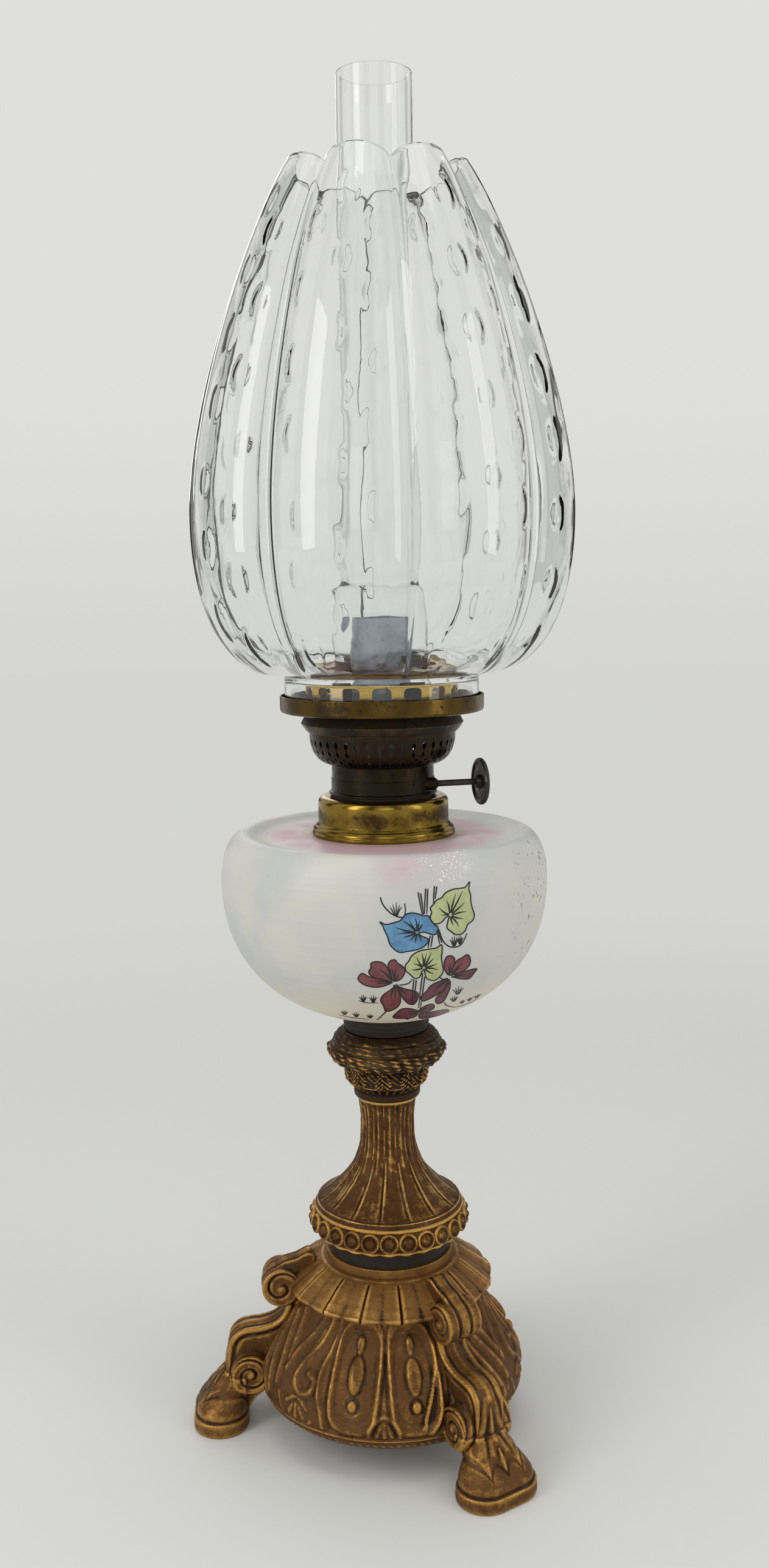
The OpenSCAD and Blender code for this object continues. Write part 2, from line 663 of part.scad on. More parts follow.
module shade() {
    steps = lobes * around;
    rings = concat(shade_side(0), reversed(shade_side(shade_wall)));
    m = len(rings);
    points = [for (p = rings, j = [0:steps - 1])
        shade_point(p, 2 * (j % around) / around - 1, shade_turn + j * 360 / steps)];
    faces = [for (i = [0:m - 1], j = [0:steps - 1]) let (
        i2 = (i + 1) % m, j2 = (j + 1) % steps,
        a = i * steps + j, b = i * steps + j2, c = i2 * steps + j2, d = i2 * steps + j)
        each [[a, d, c], [a, c, b]]];
    color("#dfe6e6", 0.5) translate([0, 0, z_holder]) polyhedron(points, faces);
}

// Side of the chimney from its foot to its top, moved in by k
function chimney_curve(k) = let (
    w = waist_h, c = chimney_r - k, s = waist_r - k, t = chimney_top_r - k) concat(
    [[c, 0], [c, w - 10]],
    bez([c, w - 10], [c, w - 3], [s, w - 5], [s, w], 4),
    bez([s, w], [s, w + 3.5], [s + 2.1, w + 5], [s + 2.1, w + 10], 3),
    bez([s + 2.1, w + 10], [s + 2.1, w + 34], [t, w + 48], [t, w + 72], 5),
    [[t, chimney_h]]);

module chimney() {
    color("#dfe6e6", 0.5) translate([0, 0, z_holder]) rotate_extrude()
        polygon(concat(chimney_curve(0), reversed(chimney_curve(chimney_wall))));
}

tripod_base();
base_collar();
fluted_column();
capital_cup();
tie_rod();
tie_washer();
tie_nut();
font_socket();
socket_plaster();
glass_font();
collar_plaster();
font_collar();
burner_gasket();
burner_base();
shaft_gland();
shaft_bracket();
burner_basket();
burner_deck();
chimney_holder();
wick_tube();
draught_tube();
wick();
wick_shaft();
cog_wheels();
thumbwheel();
shade_ring();
air_crown();
shade();
chimney();
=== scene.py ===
import json
import math

import bpy
import numpy as np
from mathutils import Matrix, Vector
from mathutils.geometry import delaunay_2d_cdt

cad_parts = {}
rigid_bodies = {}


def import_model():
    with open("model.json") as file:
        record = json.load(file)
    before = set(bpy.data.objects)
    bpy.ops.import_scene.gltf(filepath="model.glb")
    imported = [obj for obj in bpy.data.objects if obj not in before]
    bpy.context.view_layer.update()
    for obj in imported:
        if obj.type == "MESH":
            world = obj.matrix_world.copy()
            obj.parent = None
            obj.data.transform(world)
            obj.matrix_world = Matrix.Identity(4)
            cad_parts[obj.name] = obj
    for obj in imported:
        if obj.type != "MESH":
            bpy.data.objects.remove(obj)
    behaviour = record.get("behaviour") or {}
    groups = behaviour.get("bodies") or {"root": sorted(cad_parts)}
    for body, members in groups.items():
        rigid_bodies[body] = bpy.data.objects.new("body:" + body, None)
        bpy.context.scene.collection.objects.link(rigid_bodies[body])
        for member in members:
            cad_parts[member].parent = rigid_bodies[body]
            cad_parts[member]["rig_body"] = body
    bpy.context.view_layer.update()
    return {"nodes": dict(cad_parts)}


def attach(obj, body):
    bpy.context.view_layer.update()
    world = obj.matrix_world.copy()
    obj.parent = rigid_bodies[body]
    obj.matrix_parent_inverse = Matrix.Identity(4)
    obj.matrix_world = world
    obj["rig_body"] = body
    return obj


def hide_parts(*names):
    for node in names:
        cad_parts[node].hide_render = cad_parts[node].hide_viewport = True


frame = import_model()
nodes = frame["nodes"]
scene = bpy.context.scene
mm = 0.001
fullTurn = 2 * math.pi
print("frame loaded,", len(nodes), "solids")

cameraValues = {
    "place": (0.00075, -0.7408, 0.4482),
    "tilt": 7.944,  # degrees below the horizon
    "roll": 0.767,  # the lamp's top leans to the left
    "lens": 33.37,
}


def makeCamera(values):
    data = bpy.data.cameras.new("camera")
    data.sensor_fit = "VERTICAL"
    data.sensor_width = 36
    data.sensor_height = 36
    data.lens = values["lens"]
    data.clip_start = 0.01
    data.clip_end = 60
    camera = bpy.data.objects.new("camera", data)
    scene.collection.objects.link(camera)
    tilt = math.radians(values["tilt"])
    roll = math.radians(values["roll"])
    right = Vector((1, 0, 0))
    up = Vector((0, math.sin(tilt), math.cos(tilt)))
    ahead = Vector((0, math.cos(tilt), -math.sin(tilt)))
    xAxis = right * math.cos(roll) - up * math.sin(roll)
    yAxis = right * math.sin(roll) + up * math.cos(roll)
    turn = Matrix((xAxis, yAxis, -ahead)).transposed().to_4x4()
    camera.matrix_world = Matrix.Translation(values["place"]) @ turn
    scene.camera = camera


makeCamera(cameraValues)
scene.view_settings.view_transform = "Standard"


def put(tree, kind, inputs=None, **settings):
    node = tree.nodes.new(kind)
    for name, value in settings.items():
        setattr(node, name, value)
    for name, value in (inputs or {}).items():
        if isinstance(value, bpy.types.NodeSocket):
            tree.links.new(value, node.inputs[name])
        else:
            node.inputs[name].default_value = value
    return node


def shader(tree, kind, inputs=None, **settings):
    return put(tree, "ShaderNode" + kind, inputs, **settings)


def rgb(red, green, blue):  # screen values 0-255 to a linear colour
    made = []
    for value in (red, green, blue):
        value = value / 255
        made.append(value / 12.92 if value <= 0.04045 else ((value + 0.055) / 1.055) ** 2.4)
    return (*made, 1)


def maths(tree, operation, first, second=0.0, third=None, clamp=False):
    inputs = {0: first, 1: second}
    if third is not None:
        inputs[2] = third
    return shader(tree, "Math", inputs, operation=operation, use_clamp=clamp).outputs[0]


def blendColours(tree, share, first, second, way="MIX"):
    inputs = {0: share, 6: first, 7: second}
    return shader(tree, "Mix", inputs, data_type="RGBA", blend_type=way).outputs[2]


def spread(tree, value, low, high, toLow=0.0, toHigh=1.0, smooth=True):
    inputs = {"Value": value, "From Min": low, "From Max": high, "To Min": toLow, "To Max": toHigh}
    kind = "SMOOTHSTEP" if smooth else "LINEAR"
    return shader(tree, "MapRange", inputs, interpolation_type=kind).outputs[0]


def noise(tree, where, scale, detail=3.0, rough=0.55, distortion=0.0):
    inputs = {"Vector": where, "Scale": scale, "Detail": detail, "Roughness": rough, "Distortion": distortion}
    return shader(tree, "TexNoise", inputs).outputs["Fac"]


studioValues = {
    "backdrop": rgb(212, 213, 209),
    "backdropTop": rgb(223, 223, 221),
    "ambient": 0.56,  # what matt surfaces get from all round
    "cardShade": 0.10,  # dark cards between the lamps, seen only in reflections
    "throughShade": 0.74,  # the same cards as seen through the glass
    "lidShare": 0.35,  # how dark the ceiling is beside the cards
    "floorColour": rgb(222, 223, 220),
    "floorRadius": 7.0,
    "floorFadeStart": 0.40,
    "floorFadeEnd": 1.30,
}


def makeWorld(values):
    world = bpy.data.worlds.new("studio")
    scene.world = world
    world.use_nodes = True
    tree = world.node_tree
    tree.nodes.clear()
    way = shader(tree, "TexCoord").outputs["Generated"]
    parts = shader(tree, "SeparateXYZ", {0: way})
    turn = maths(tree, "ARCTAN2", parts.outputs[0], parts.outputs[1])
    wave = maths(tree, "COSINE", maths(tree, "MULTIPLY", turn, 8.0))
    card = spread(tree, wave, -0.15, -0.55)  # cards half way between the eighths of a turn
    low = spread(tree, parts.outputs[2], -0.25, -0.1)
    card = maths(tree, "MULTIPLY", card, low)
    lid = spread(tree, parts.outputs[2], 0.55, 0.8, 0.0, values["lidShare"])
    dark = maths(tree, "MAXIMUM", card, lid)
    high = spread(tree, parts.outputs[2], -0.10, 0.16)
    wall = blendColours(tree, high, values["backdrop"], values["backdropTop"])
    shade = tuple(values["cardShade"] * c for c in values["backdrop"][:3])
    mirror = blendColours(tree, dark, values["backdropTop"], (*shade, 1))
    shade = tuple(values["throughShade"] * c for c in values["backdrop"][:3])
    through = blendColours(tree, dark, wall, (*shade, 1))
    rays = shader(tree, "LightPath").outputs
    ambient = tuple(values["ambient"] * c for c in (1.0, 1.0, 0.985))
    colour = blendColours(tree, rays["Is Glossy Ray"], (*ambient, 1), mirror)
    colour = blendColours(tree, rays["Is Transmission Ray"], colour, through)
    colour = blendColours(tree, rays["Is Camera Ray"], colour, wall)
    light = shader(tree, "Background", {"Color": colour, "Strength": 1.0})
    out = shader(tree, "OutputWorld")
    tree.links.new(light.outputs[0], out.inputs[0])


def makeFloor(values):
    material = bpy.data.materials.new("floorPaper")
    material.use_nodes = True
    tree = material.node_tree
    tree.nodes.clear()
    place = shader(tree, "TexCoord").outputs["Object"]
    far = shader(tree, "VectorMath", {0: place}, operation="LENGTH").outputs["Value"]
    fade = spread(tree, far, values["floorFadeStart"], values["floorFadeEnd"])
    paper = shader(tree, "BsdfDiffuse", {"Color": values["floorColour"]})
    glow = shader(tree, "Emission", {"Color": values["backdrop"], "Strength": 1.0})
    mix = shader(tree, "MixShader", {0: fade, 1: paper.outputs[0], 2: glow.outputs[0]})
    out = shader(tree, "OutputMaterial")
    tree.links.new(mix.outputs[0], out.inputs[0])
    rings = [0, 0.2, 0.4, 0.6, 0.9, 1.3, 2.0, 3.5, values["floorRadius"]]
    points = [(0, 0, 0)]
    faces = []
    around = 64
    for radius in rings[1:]:
        for k in range(around):
            angle = fullTurn * k / around
            points.append((radius * math.cos(angle), radius * math.sin(angle), 0))
    for k in range(around):
        after = (k + 1) % around
        faces.append((0, 1 + k, 1 + after))
        for ring in range(len(rings) - 2):
            start = 1 + ring * around
            faces.append((start + k, start + around + k, start + around + after, start + after))
    mesh = bpy.data.meshes.new("floor")
    mesh.from_pydata(points, [], faces)
    mesh.materials.append(material)
    floor = bpy.data.objects.new("floor", mesh)
    scene.collection.objects.link(floor)


lampValues = {  # place, the point it looks at, width, height and brightness of the light's face
    "keyLeft": ((-1.00, -0.75, 0.85), (0, 0, 0.38), 0.42, 1.25, 3.6),
    "fillRight": ((1.15, -0.60, 0.80), (0, 0, 0.38), 0.34, 1.25, 2.6),
    "top": ((0.0, -0.15, 1.75), (0, 0, 0.30), 1.10, 0.90, 1.4),
    "front": ((0.25, -1.80, 0.75), (0, 0, 0.30), 0.80, 0.80, 0.9),
    "back": ((-0.35, 1.35, 1.05), (0, 0, 0.45), 0.60, 1.00, 1.2),
}


def makeLamps(values):
    for name, (place, target, width, height, brightness) in values.items():
        data = bpy.data.lights.new(name, "AREA")
        data.shape = "RECTANGLE"
        data.size = width
        data.size_y = height
        data.energy = brightness * math.pi * width * height
        lamp = bpy.data.objects.new(name, data)
        scene.collection.objects.link(lamp)
        aim = Vector(target) - Vector(place)
        turn = aim.to_track_quat("-Z", "Y").to_matrix().to_4x4()
        lamp.matrix_world = Matrix.Translation(place) @ turn
        lamp.visible_camera = False
        lamp.visible_transmission = False


makeWorld(studioValues)
makeFloor(studioValues)
makeLamps(lampValues)
print("camera, floor and lamps made")


def bezier(start, first, second, end, count):
    t = np.linspace(0, 1, count + 1)[1:, None]
    a, b, c, d = (np.array(p, float) for p in (start, first, second, end))
    line = (1 - t) ** 3 * a + 3 * (1 - t) ** 2 * t * b + 3 * (1 - t) * t * t * c + t ** 3 * d
    return [tuple(p) for p in line]


def lifted(profile, height):
    return [(r, z + height) for r, z in profile]


def isClosed(profile):
    return profile[0][0] > 0.001 or profile[-1][0] > 0.001


def softened(profile, radius=0.3, steps=3, least=22):
    made = []
    count = len(profile)
    for i, corner in enumerate(profile):
        here = Vector(corner)
        into = here - Vector(profile[i - 1])
        out = Vector(profile[(i + 1) % count]) - here
        edge = corner[0] < 0.001 or into.length < 1e-6 or out.length < 1e-6
        if edge or into.angle(out) < math.radians(least):
            made.append(tuple(here))
            continue
        reach = radius * math.tan(min(into.angle(out), 2.6) / 2)
        reach = min(reach, 0.45 * into.length, 0.45 * out.length)
        before = here - into.normalized() * reach
        after = here + out.normalized() * reach
        for k in range(steps + 1):
            t = k / steps
            made.append(tuple(before * (1 - t) ** 2 + here * 2 * t * (1 - t) + after * t * t))
    return made


def denser(profile, step, closed=True):
    made = []
    count = len(profile)
    for i, start in enumerate(profile):
        made.append(start)
        if i == count - 1 and not closed:
            break
        end = profile[(i + 1) % count]
        length = math.dist(start, end)
        parts = max(1, math.ceil(length / step))
        cuts = [k / parts for k in range(1, parts)]
        if length > 0.8:
            cuts = [0.15 / length, *cuts, 1 - 0.15 / length]
        for t in sorted(cuts):
            made.append((start[0] + (end[0] - start[0]) * t, start[1] + (end[1] - start[1]) * t))
    return made


def meshPiece(name, points, faces, smoothBelow=35):
    mesh = bpy.data.meshes.new(name)
    mesh.from_pydata(points, [], faces)
    mesh.validate()
    mesh.polygons.foreach_set("use_smooth", [True] * len(mesh.polygons))
    mesh.set_sharp_from_angle(angle=math.radians(smoothBelow))
    mesh.update()
    piece = bpy.data.objects.new(name, mesh)
    scene.collection.objects.link(piece)
    return piece


def profileNormals(line, closed):
    before = np.roll(line, 1, axis=0)
    after = np.roll(line, -1, axis=0)
    if not closed:
        before[0] = line[0]
        after[-1] = line[-1]
    along = after - before
    out = np.stack([along[:, 1], -along[:, 0]], axis=1)
    return out / np.maximum(np.linalg.norm(out, axis=1), 1e-9)[:, None]


def turned(name, profile, steps=192, relief=None, span=None, smoothBelow=35):
    # revolves a closed (r, z) profile in mm; relief(alpha, r, z, out) pushes points outwards
    line = np.array(profile, float)
    closed = isClosed(profile)
    ring = np.roll(line, -1, axis=0)
    if (line[:, 0] * ring[:, 1] - ring[:, 0] * line[:, 1]).sum() < 0:
        line = line[::-1].copy()
    out = profileNormals(line, closed)
    if span is None:
        alpha = np.arange(steps) * 360 / steps
    else:
        alpha = np.linspace(span[0], span[1], steps + 1)
    columns = len(alpha)
    r = np.repeat(line[:, :1], columns, axis=1)
    z = np.repeat(line[:, 1:], columns, axis=1)
    if relief is not None:
        push = relief(alpha[None, :] + 0 * r, r, z, out[:, :1] + 0 * r)
        r, z = r + push * out[:, :1], z + push * out[:, 1:]
    angle = np.radians(alpha)
    points = np.stack([r * np.sin(angle), -r * np.cos(angle), z], axis=2).reshape(-1, 3) * mm
    rows = len(line)
    index = np.arange(rows * columns).reshape(rows, columns)
    for row in range(rows):
        if line[row, 0] < 0.001:
            index[row, :] = index[row, 0]
    across = index if span is not None else np.concatenate([index, index[:, :1]], axis=1)
    if closed:
        across = np.concatenate([across, across[:1]], axis=0)
    quads = np.stack([across[:-1, :-1], across[:-1, 1:], across[1:, 1:], across[1:, :-1]], axis=2)
    faces = []
    for quad in quads.reshape(-1, 4).tolist():
        corners = list(dict.fromkeys(quad))
        if len(corners) > 2:
            faces.append(corners)
    if span is not None and closed:
        faces.append(list(index[::-1, 0]))
        faces.append(list(index[:, -1]))
    used = np.zeros(len(points), bool)
    used[index.ravel()] = True
    renamed = np.cumsum(used) - 1
    faces = [[int(renamed[i]) for i in face] for face in faces]
    return meshPiece(name, points[used].tolist(), faces, smoothBelow)


def markRidges(piece, passes=6, scale=0.25):
    # stores how far each point stands above its surroundings, for worn and dusty places
    mesh = piece.data
    count = len(mesh.vertices)
    place = np.empty(count * 3)
    mesh.vertices.foreach_get("co", place)
    place = place.reshape(-1, 3)
    facing = np.empty(count * 3)
    mesh.vertex_normals.foreach_get("vector", facing)
    facing = facing.reshape(-1, 3)
    edges = np.empty(len(mesh.edges) * 2, int)
    mesh.edges.foreach_get("vertices", edges)
    edges = edges.reshape(-1, 2)
    neighbours = np.maximum(np.bincount(edges.ravel(), minlength=count), 1)
    calm = place.copy()
    for _ in range(passes):
        total = np.zeros_like(calm)
        for axis in range(3):
            total[:, axis] = np.bincount(edges[:, 0], calm[edges[:, 1], axis], count)
            total[:, axis] += np.bincount(edges[:, 1], calm[edges[:, 0], axis], count)
        calm = total / neighbours[:, None]
    ridge = ((place - calm) * facing).sum(axis=1) / (scale * mm)
    stored = mesh.attributes.new("ridge", "FLOAT", "POINT")
    stored.data.foreach_set("value", np.clip(ridge, -1.5, 1.5).astype(np.float32))


def dress(piece, material, node, hides=True):
    piece.data.materials.clear()
    piece.data.materials.append(material)
    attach(piece, nodes[node]["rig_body"])
    if hides:
        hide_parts(node)
    return piece


def recolour(node, material):  # a CAD solid that stays gets its finish here
    mesh = nodes[node].data
    if not mesh.materials:
        mesh.materials.append(material)
    for k in range(len(mesh.materials)):
        mesh.materials[k] = material


def newGroup(name, inputs, outputs):
    group = bpy.data.node_groups.new(name, "ShaderNodeTree")
    for label, kind, value in inputs:
        socket = group.interface.new_socket(name=label, in_out="INPUT", socket_type=kind)
        socket.default_value = value
    for label, kind in outputs:
        group.interface.new_socket(name=label, in_out="OUTPUT", socket_type=kind)
    start = put(group, "NodeGroupInput")
    end = put(group, "NodeGroupOutput")
    return group, start.outputs, end.inputs


def useGroup(tree, group, inputs):
    node = shader(tree, "Group")
    node.node_tree = group
    for name, value in inputs.items():
        if isinstance(value, bpy.types.NodeSocket):
            tree.links.new(value, node.inputs[name])
        else:
            node.inputs[name].default_value = value
    return node.outputs


def makePatinaGroup():  # worn metal: bright where it stands proud, dark in the hollows, dusty in between
    group, start, end = newGroup(
        "patina",
        [
            ("Raised", "NodeSocketColor", (0.5, 0.4, 0.2, 1)),
            ("Body", "NodeSocketColor", (0.2, 0.1, 0.05, 1)),
            ("Recess", "NodeSocketColor", (0.05, 0.03, 0.01, 1)),
            ("Dust", "NodeSocketColor", (0.2, 0.18, 0.15, 1)),
            ("Wear", "NodeSocketFloat", 0.5),
            ("Dusty", "NodeSocketFloat", 0.3),
            ("Smooth Roughness", "NodeSocketFloat", 0.35),
            ("Rough Roughness", "NodeSocketFloat", 0.65),
        ],
        [("Color", "NodeSocketColor"), ("Roughness", "NodeSocketFloat"), ("Height", "NodeSocketFloat")],
    )
    place = shader(group, "TexCoord").outputs["Object"]
    ridge = shader(group, "Attribute", attribute_name="ridge", attribute_type="GEOMETRY").outputs["Fac"]
    cloud = noise(group, place, 45, 4, 0.6)
    blotch = noise(group, place, 190, 5, 0.65, 0.4)
    grain = noise(group, place, 1500, 3, 0.6)
    uneven = maths(group, "MULTIPLY", maths(group, "SUBTRACT", cloud, 0.5), 2.2)
    uneven = maths(group, "ADD", uneven, maths(group, "MULTIPLY", maths(group, "SUBTRACT", blotch, 0.5), 2.8))
    uneven = maths(group, "ADD", uneven, maths(group, "MULTIPLY", maths(group, "SUBTRACT", grain, 0.5), 1.3))
    high = maths(group, "ADD", ridge, maths(group, "MULTIPLY", uneven, 0.62))
    high = maths(group, "ADD", high, maths(group, "SUBTRACT", start["Wear"], 0.5))
    worn = spread(group, high, 0.02, 0.85)
    low = maths(group, "SUBTRACT", maths(group, "MULTIPLY", uneven, -0.6), ridge)
    deep = spread(group, low, 0.10, 0.80)
    speck = spread(group, blotch, 0.50, 0.72)
    tone = blendColours(group, worn, start["Body"], start["Raised"])
    mottle = blendColours(group, maths(group, "MULTIPLY", speck, 0.35), tone, start["Recess"])
    tone = blendColours(group, deep, mottle, start["Recess"])
    settle = spread(group, noise(group, place, 75, 4, 0.6, 0.3), 0.5, 0.72)
    hollow = spread(group, maths(group, "MULTIPLY", ridge, -1.0), -0.1, 0.5)
    film = maths(group, "MULTIPLY", maths(group, "MULTIPLY", settle, start["Dusty"]), hollow)
    tone = blendColours(group, film, tone, start["Dust"])
    fine = spread(group, grain, 0.3, 0.75, 0.86, 1.12, False)
    tone = blendColours(group, 1.0, tone, shader(group, "CombineXYZ", {0: fine, 1: fine, 2: fine}).outputs[0], "MULTIPLY")
    group.links.new(tone, end["Color"])
    rough = shader(
        group, "MapRange", {"Value": worn, "To Min": start["Rough Roughness"], "To Max": start["Smooth Roughness"]}
    ).outputs[0]
    rough = maths(group, "ADD", rough, maths(group, "MULTIPLY", maths(group, "SUBTRACT", grain, 0.5), 0.25))
    rough = maths(group, "ADD", rough, maths(group, "MULTIPLY", film, 0.25), clamp=True)
    group.links.new(rough, end["Roughness"])
    height = maths(group, "ADD", maths(group, "MULTIPLY", grain, 0.6), maths(group, "MULTIPLY", blotch, 1.0))
    group.links.new(height, end["Height"])
    return group


def makeTarnishGroup():  # sheet brass: clear metal, darker oxide clouds, spots and faint turning marks
    group, start, end = newGroup(
        "tarnish",
        [
            ("Metal", "NodeSocketColor", (0.6, 0.4, 0.1, 1)),
            ("Oxide", "NodeSocketColor", (0.1, 0.06, 0.03, 1)),
            ("Spots", "NodeSocketColor", (0.05, 0.03, 0.02, 1)),
            ("Amount", "NodeSocketFloat", 0.4),
            ("Clean Roughness", "NodeSocketFloat", 0.2),
            ("Dull Roughness", "NodeSocketFloat", 0.55),
        ],
        [
            ("Color", "NodeSocketColor"),
            ("Roughness", "NodeSocketFloat"),
            ("Height", "NodeSocketFloat"),
            ("Oxide Mask", "NodeSocketFloat"),
        ],
    )
    place = shader(group, "TexCoord").outputs["Object"]
    ridge = shader(group, "Attribute", attribute_name="ridge", attribute_type="GEOMETRY").outputs["Fac"]
    cloud = noise(group, place, 55, 5, 0.62, 0.6)
    fine = noise(group, place, 420, 4, 0.6)
    stretched = shader(group, "Mapping", {"Vector": place, "Scale": (60, 60, 2600)}).outputs[0]
    turning = noise(group, stretched, 1.0, 2, 0.5)
    mixed = maths(group, "ADD", cloud, maths(group, "MULTIPLY", maths(group, "SUBTRACT", fine, 0.5), 0.35))
    mixed = maths(group, "SUBTRACT", mixed, maths(group, "MULTIPLY", ridge, 0.25))
    mixed = maths(group, "ADD", mixed, maths(group, "SUBTRACT", start["Amount"], 0.5))
    dull = spread(group, mixed, 0.36, 0.68)
    spot = spread(group, noise(group, place, 260, 2, 0.5), 0.66, 0.74)
    tone = blendColours(group, dull, start["Metal"], start["Oxide"])
    tone = blendColours(group, maths(group, "MULTIPLY", spot, 0.75), tone, start["Spots"])
    group.links.new(tone, end["Color"])
    rough = shader(
        group, "MapRange", {"Value": dull, "To Min": start["Clean Roughness"], "To Max": start["Dull Roughness"]}
    ).outputs[0]
    rough = maths(group, "ADD", rough, maths(group, "MULTIPLY", maths(group, "SUBTRACT", fine, 0.5), 0.22))
    rough = maths(group, "ADD", rough, maths(group, "MULTIPLY", spot, 0.2), clamp=True)
    group.links.new(rough, end["Roughness"])
    height = maths(group, "ADD", turning, maths(group, "MULTIPLY", fine, 0.6))
    group.links.new(height, end["Height"])
    group.links.new(dull, end["Oxide Mask"])
    return group


patinaGroup = makePatinaGroup()
tarnishGroup = makeTarnishGroup()


def freshMaterial(name):
    material = bpy.data.materials.new(name)
    material.use_nodes = True
    tree = material.node_tree
    tree.nodes.clear()
    out = shader(tree, "OutputMaterial")
    return material, tree, out


def bumped(tree, height, distance, strength=1.0):
    inputs = {"Height": height, "Distance": distance, "Strength": strength}
    return shader(tree, "Bump", inputs).outputs[0]


def castMetal(name, values):
    material, tree, out = freshMaterial(name)
    look = useGroup(
        tree,
        patinaGroup,
        {
            "Raised": values["raised"],
            "Body": values["body"],
            "Recess": values["recess"],
            "Dust": values["dust"],
            "Wear": values["wear"],
            "Dusty": values["dusty"],
            "Smooth Roughness": values["rough"][0],
            "Rough Roughness": values["rough"][1],
        },
    )
    inputs = {
        "Base Color": look["Color"],
        "Roughness": look["Roughness"],
        "Metallic": values["metal"],
        "Normal": bumped(tree, look["Height"], values["grain"] * mm),
    }
    face = shader(tree, "BsdfPrincipled", inputs)
    tree.links.new(face.outputs[0], out.inputs[0])
    return material


def sheetBrass(name, values):
    material, tree, out = freshMaterial(name)
    amount = values["amount"]
    if "band" in values:  # more oxide between two heights, m
        low, high, more = values["band"]
        z = shader(tree, "SeparateXYZ", {0: shader(tree, "TexCoord").outputs["Object"]}).outputs[2]
        above = spread(tree, z, low - 0.003, low + 0.003)
        below = spread(tree, z, high - 0.003, high + 0.003, 1.0, 0.0)
        inside = maths(tree, "MULTIPLY", above, below)
        amount = maths(tree, "ADD", maths(tree, "MULTIPLY", inside, more), amount)
    look = useGroup(
        tree,
        tarnishGroup,
        {
            "Metal": values["metal"],
            "Oxide": values["oxide"],
            "Spots": values["spots"],
            "Amount": amount,
            "Clean Roughness": values["rough"][0],
            "Dull Roughness": values["rough"][1],
        },
    )
    shine = spread(tree, look["Oxide Mask"], 0.0, 1.0, values["metallic"][0], values["metallic"][1])
    inputs = {
        "Base Color": look["Color"],
        "Roughness": look["Roughness"],
        "Metallic": shine,
        "Normal": bumped(tree, look["Height"], values["marks"] * mm),
    }
    face = shader(tree, "BsdfPrincipled", inputs)
    tree.links.new(face.outputs[0], out.inputs[0])
    return material


baseFinish = {
    "raised": rgb(184, 136, 66),
    "body": rgb(106, 71, 36),
    "recess": rgb(50, 34, 20),
    "dust": rgb(112, 104, 84),
    "wear": 0.50,
    "dusty": 0.8,
    "rough": (0.27, 0.56),
    "metal": 0.75,
    "grain": 0.30,
}
baseMetal = castMetal("bronzedCasting", baseFinish)
columnMetal = castMetal("agedBrassCasting", dict(baseFinish, raised=rgb(208, 162, 84), body=rgb(92, 57, 24), wear=0.50))
capitalMetal = castMetal("darkBronzeCasting", dict(baseFinish, body=rgb(60, 41, 22), recess=rgb(24, 16, 10), wear=0.34))
# the base casting's bronze with its body and raised tones painted lighter for the cap: a painted highlight that stands
# in for the light its upward-facing top catches
capMetalPaintedTopLight = castMetal("bronzeCastingPaintedTopLight", dict(baseFinish, raised=rgb(196, 148, 78), body=rgb(138, 98, 50), wear=0.55))
blackFinish = {
    "raised": rgb(62, 52, 40),
    "body": rgb(36, 30, 24),
    "recess": rgb(20, 17, 14),
    "dust": rgb(70, 62, 50),
    "wear": 0.40,
    "dusty": 0.5,
    "rough": (0.42, 0.66),
    "metal": 0.3,
    "grain": 0.06,
}
blackMetal = castMetal("blackenedIron", blackFinish)
steelFinish = dict(blackFinish, raised=rgb(190, 190, 186), body=rgb(150, 148, 142), recess=rgb(92, 74, 56), metal=0.9)
plainSteel = castMetal("plainSteel", steelFinish)

collarBrass = sheetBrass("yellowBrass", {
    "metal": rgb(142, 116, 48),
    "oxide": rgb(72, 52, 23),
    "spots": rgb(70, 46, 24),
    "amount": 0.36,
    "rough": (0.20, 0.42),
    "metallic": (1.0, 0.85),
    "marks": 0.03,
    "band": (0.3275, 0.3345, 0.26),
})
ringBrass = sheetBrass("mottledBrass", {
    "metal": rgb(92, 72, 34),
    "oxide": rgb(50, 36, 21),
    "spots": rgb(42, 28, 18),
    "amount": 0.47,
    "rough": (0.24, 0.46),
    "metallic": (1.0, 0.85),
    "marks": 0.03,
})
burnerBrass = sheetBrass("oxidisedBrass", {
    "metal": rgb(44, 35, 22),
    "oxide": rgb(26, 20, 14),
    "spots": rgb(22, 17, 12),
    "amount": 0.50,
    "rough": (0.28, 0.52),
    "metallic": (0.95, 0.7),
    "marks": 0.03,
})
basketBrass = sheetBrass("reddishBrass", {
    "metal": rgb(54, 42, 28),
    "oxide": rgb(28, 21, 15),
    "spots": rgb(20, 15, 12),
    "amount": 0.58,
    "rough": (0.30, 0.55),
    "metallic": (0.95, 0.7),
    "marks": 0.02,
})
deckBrass = sheetBrass("blackenedBrass", {
    "metal": rgb(92, 76, 54),
    "oxide": rgb(46, 38, 30),
    "spots": rgb(22, 18, 16),
    "amount": 0.62,
    "rough": (0.26, 0.5),
    "metallic": (0.95, 0.75),
    "marks": 0.02,
})
crownBrass = sheetBrass("crownBrass", {
    "metal": rgb(214, 176, 76),
    "oxide": rgb(150, 112, 48),
    "spots": rgb(84, 56, 30),
    "amount": 0.34,
    "rough": (0.16, 0.36),
    "metallic": (1.0, 0.95),
    "marks": 0.02,
})
tubeTin = sheetBrass("tinnedTube", {
    "metal": rgb(146, 152, 164),
    "oxide": rgb(104, 110, 124),
    "spots": rgb(64, 62, 66),
    "amount": 0.50,
    "rough": (0.30, 0.55),
    "metallic": (0.7, 0.4),
    "marks": 0.02,
})
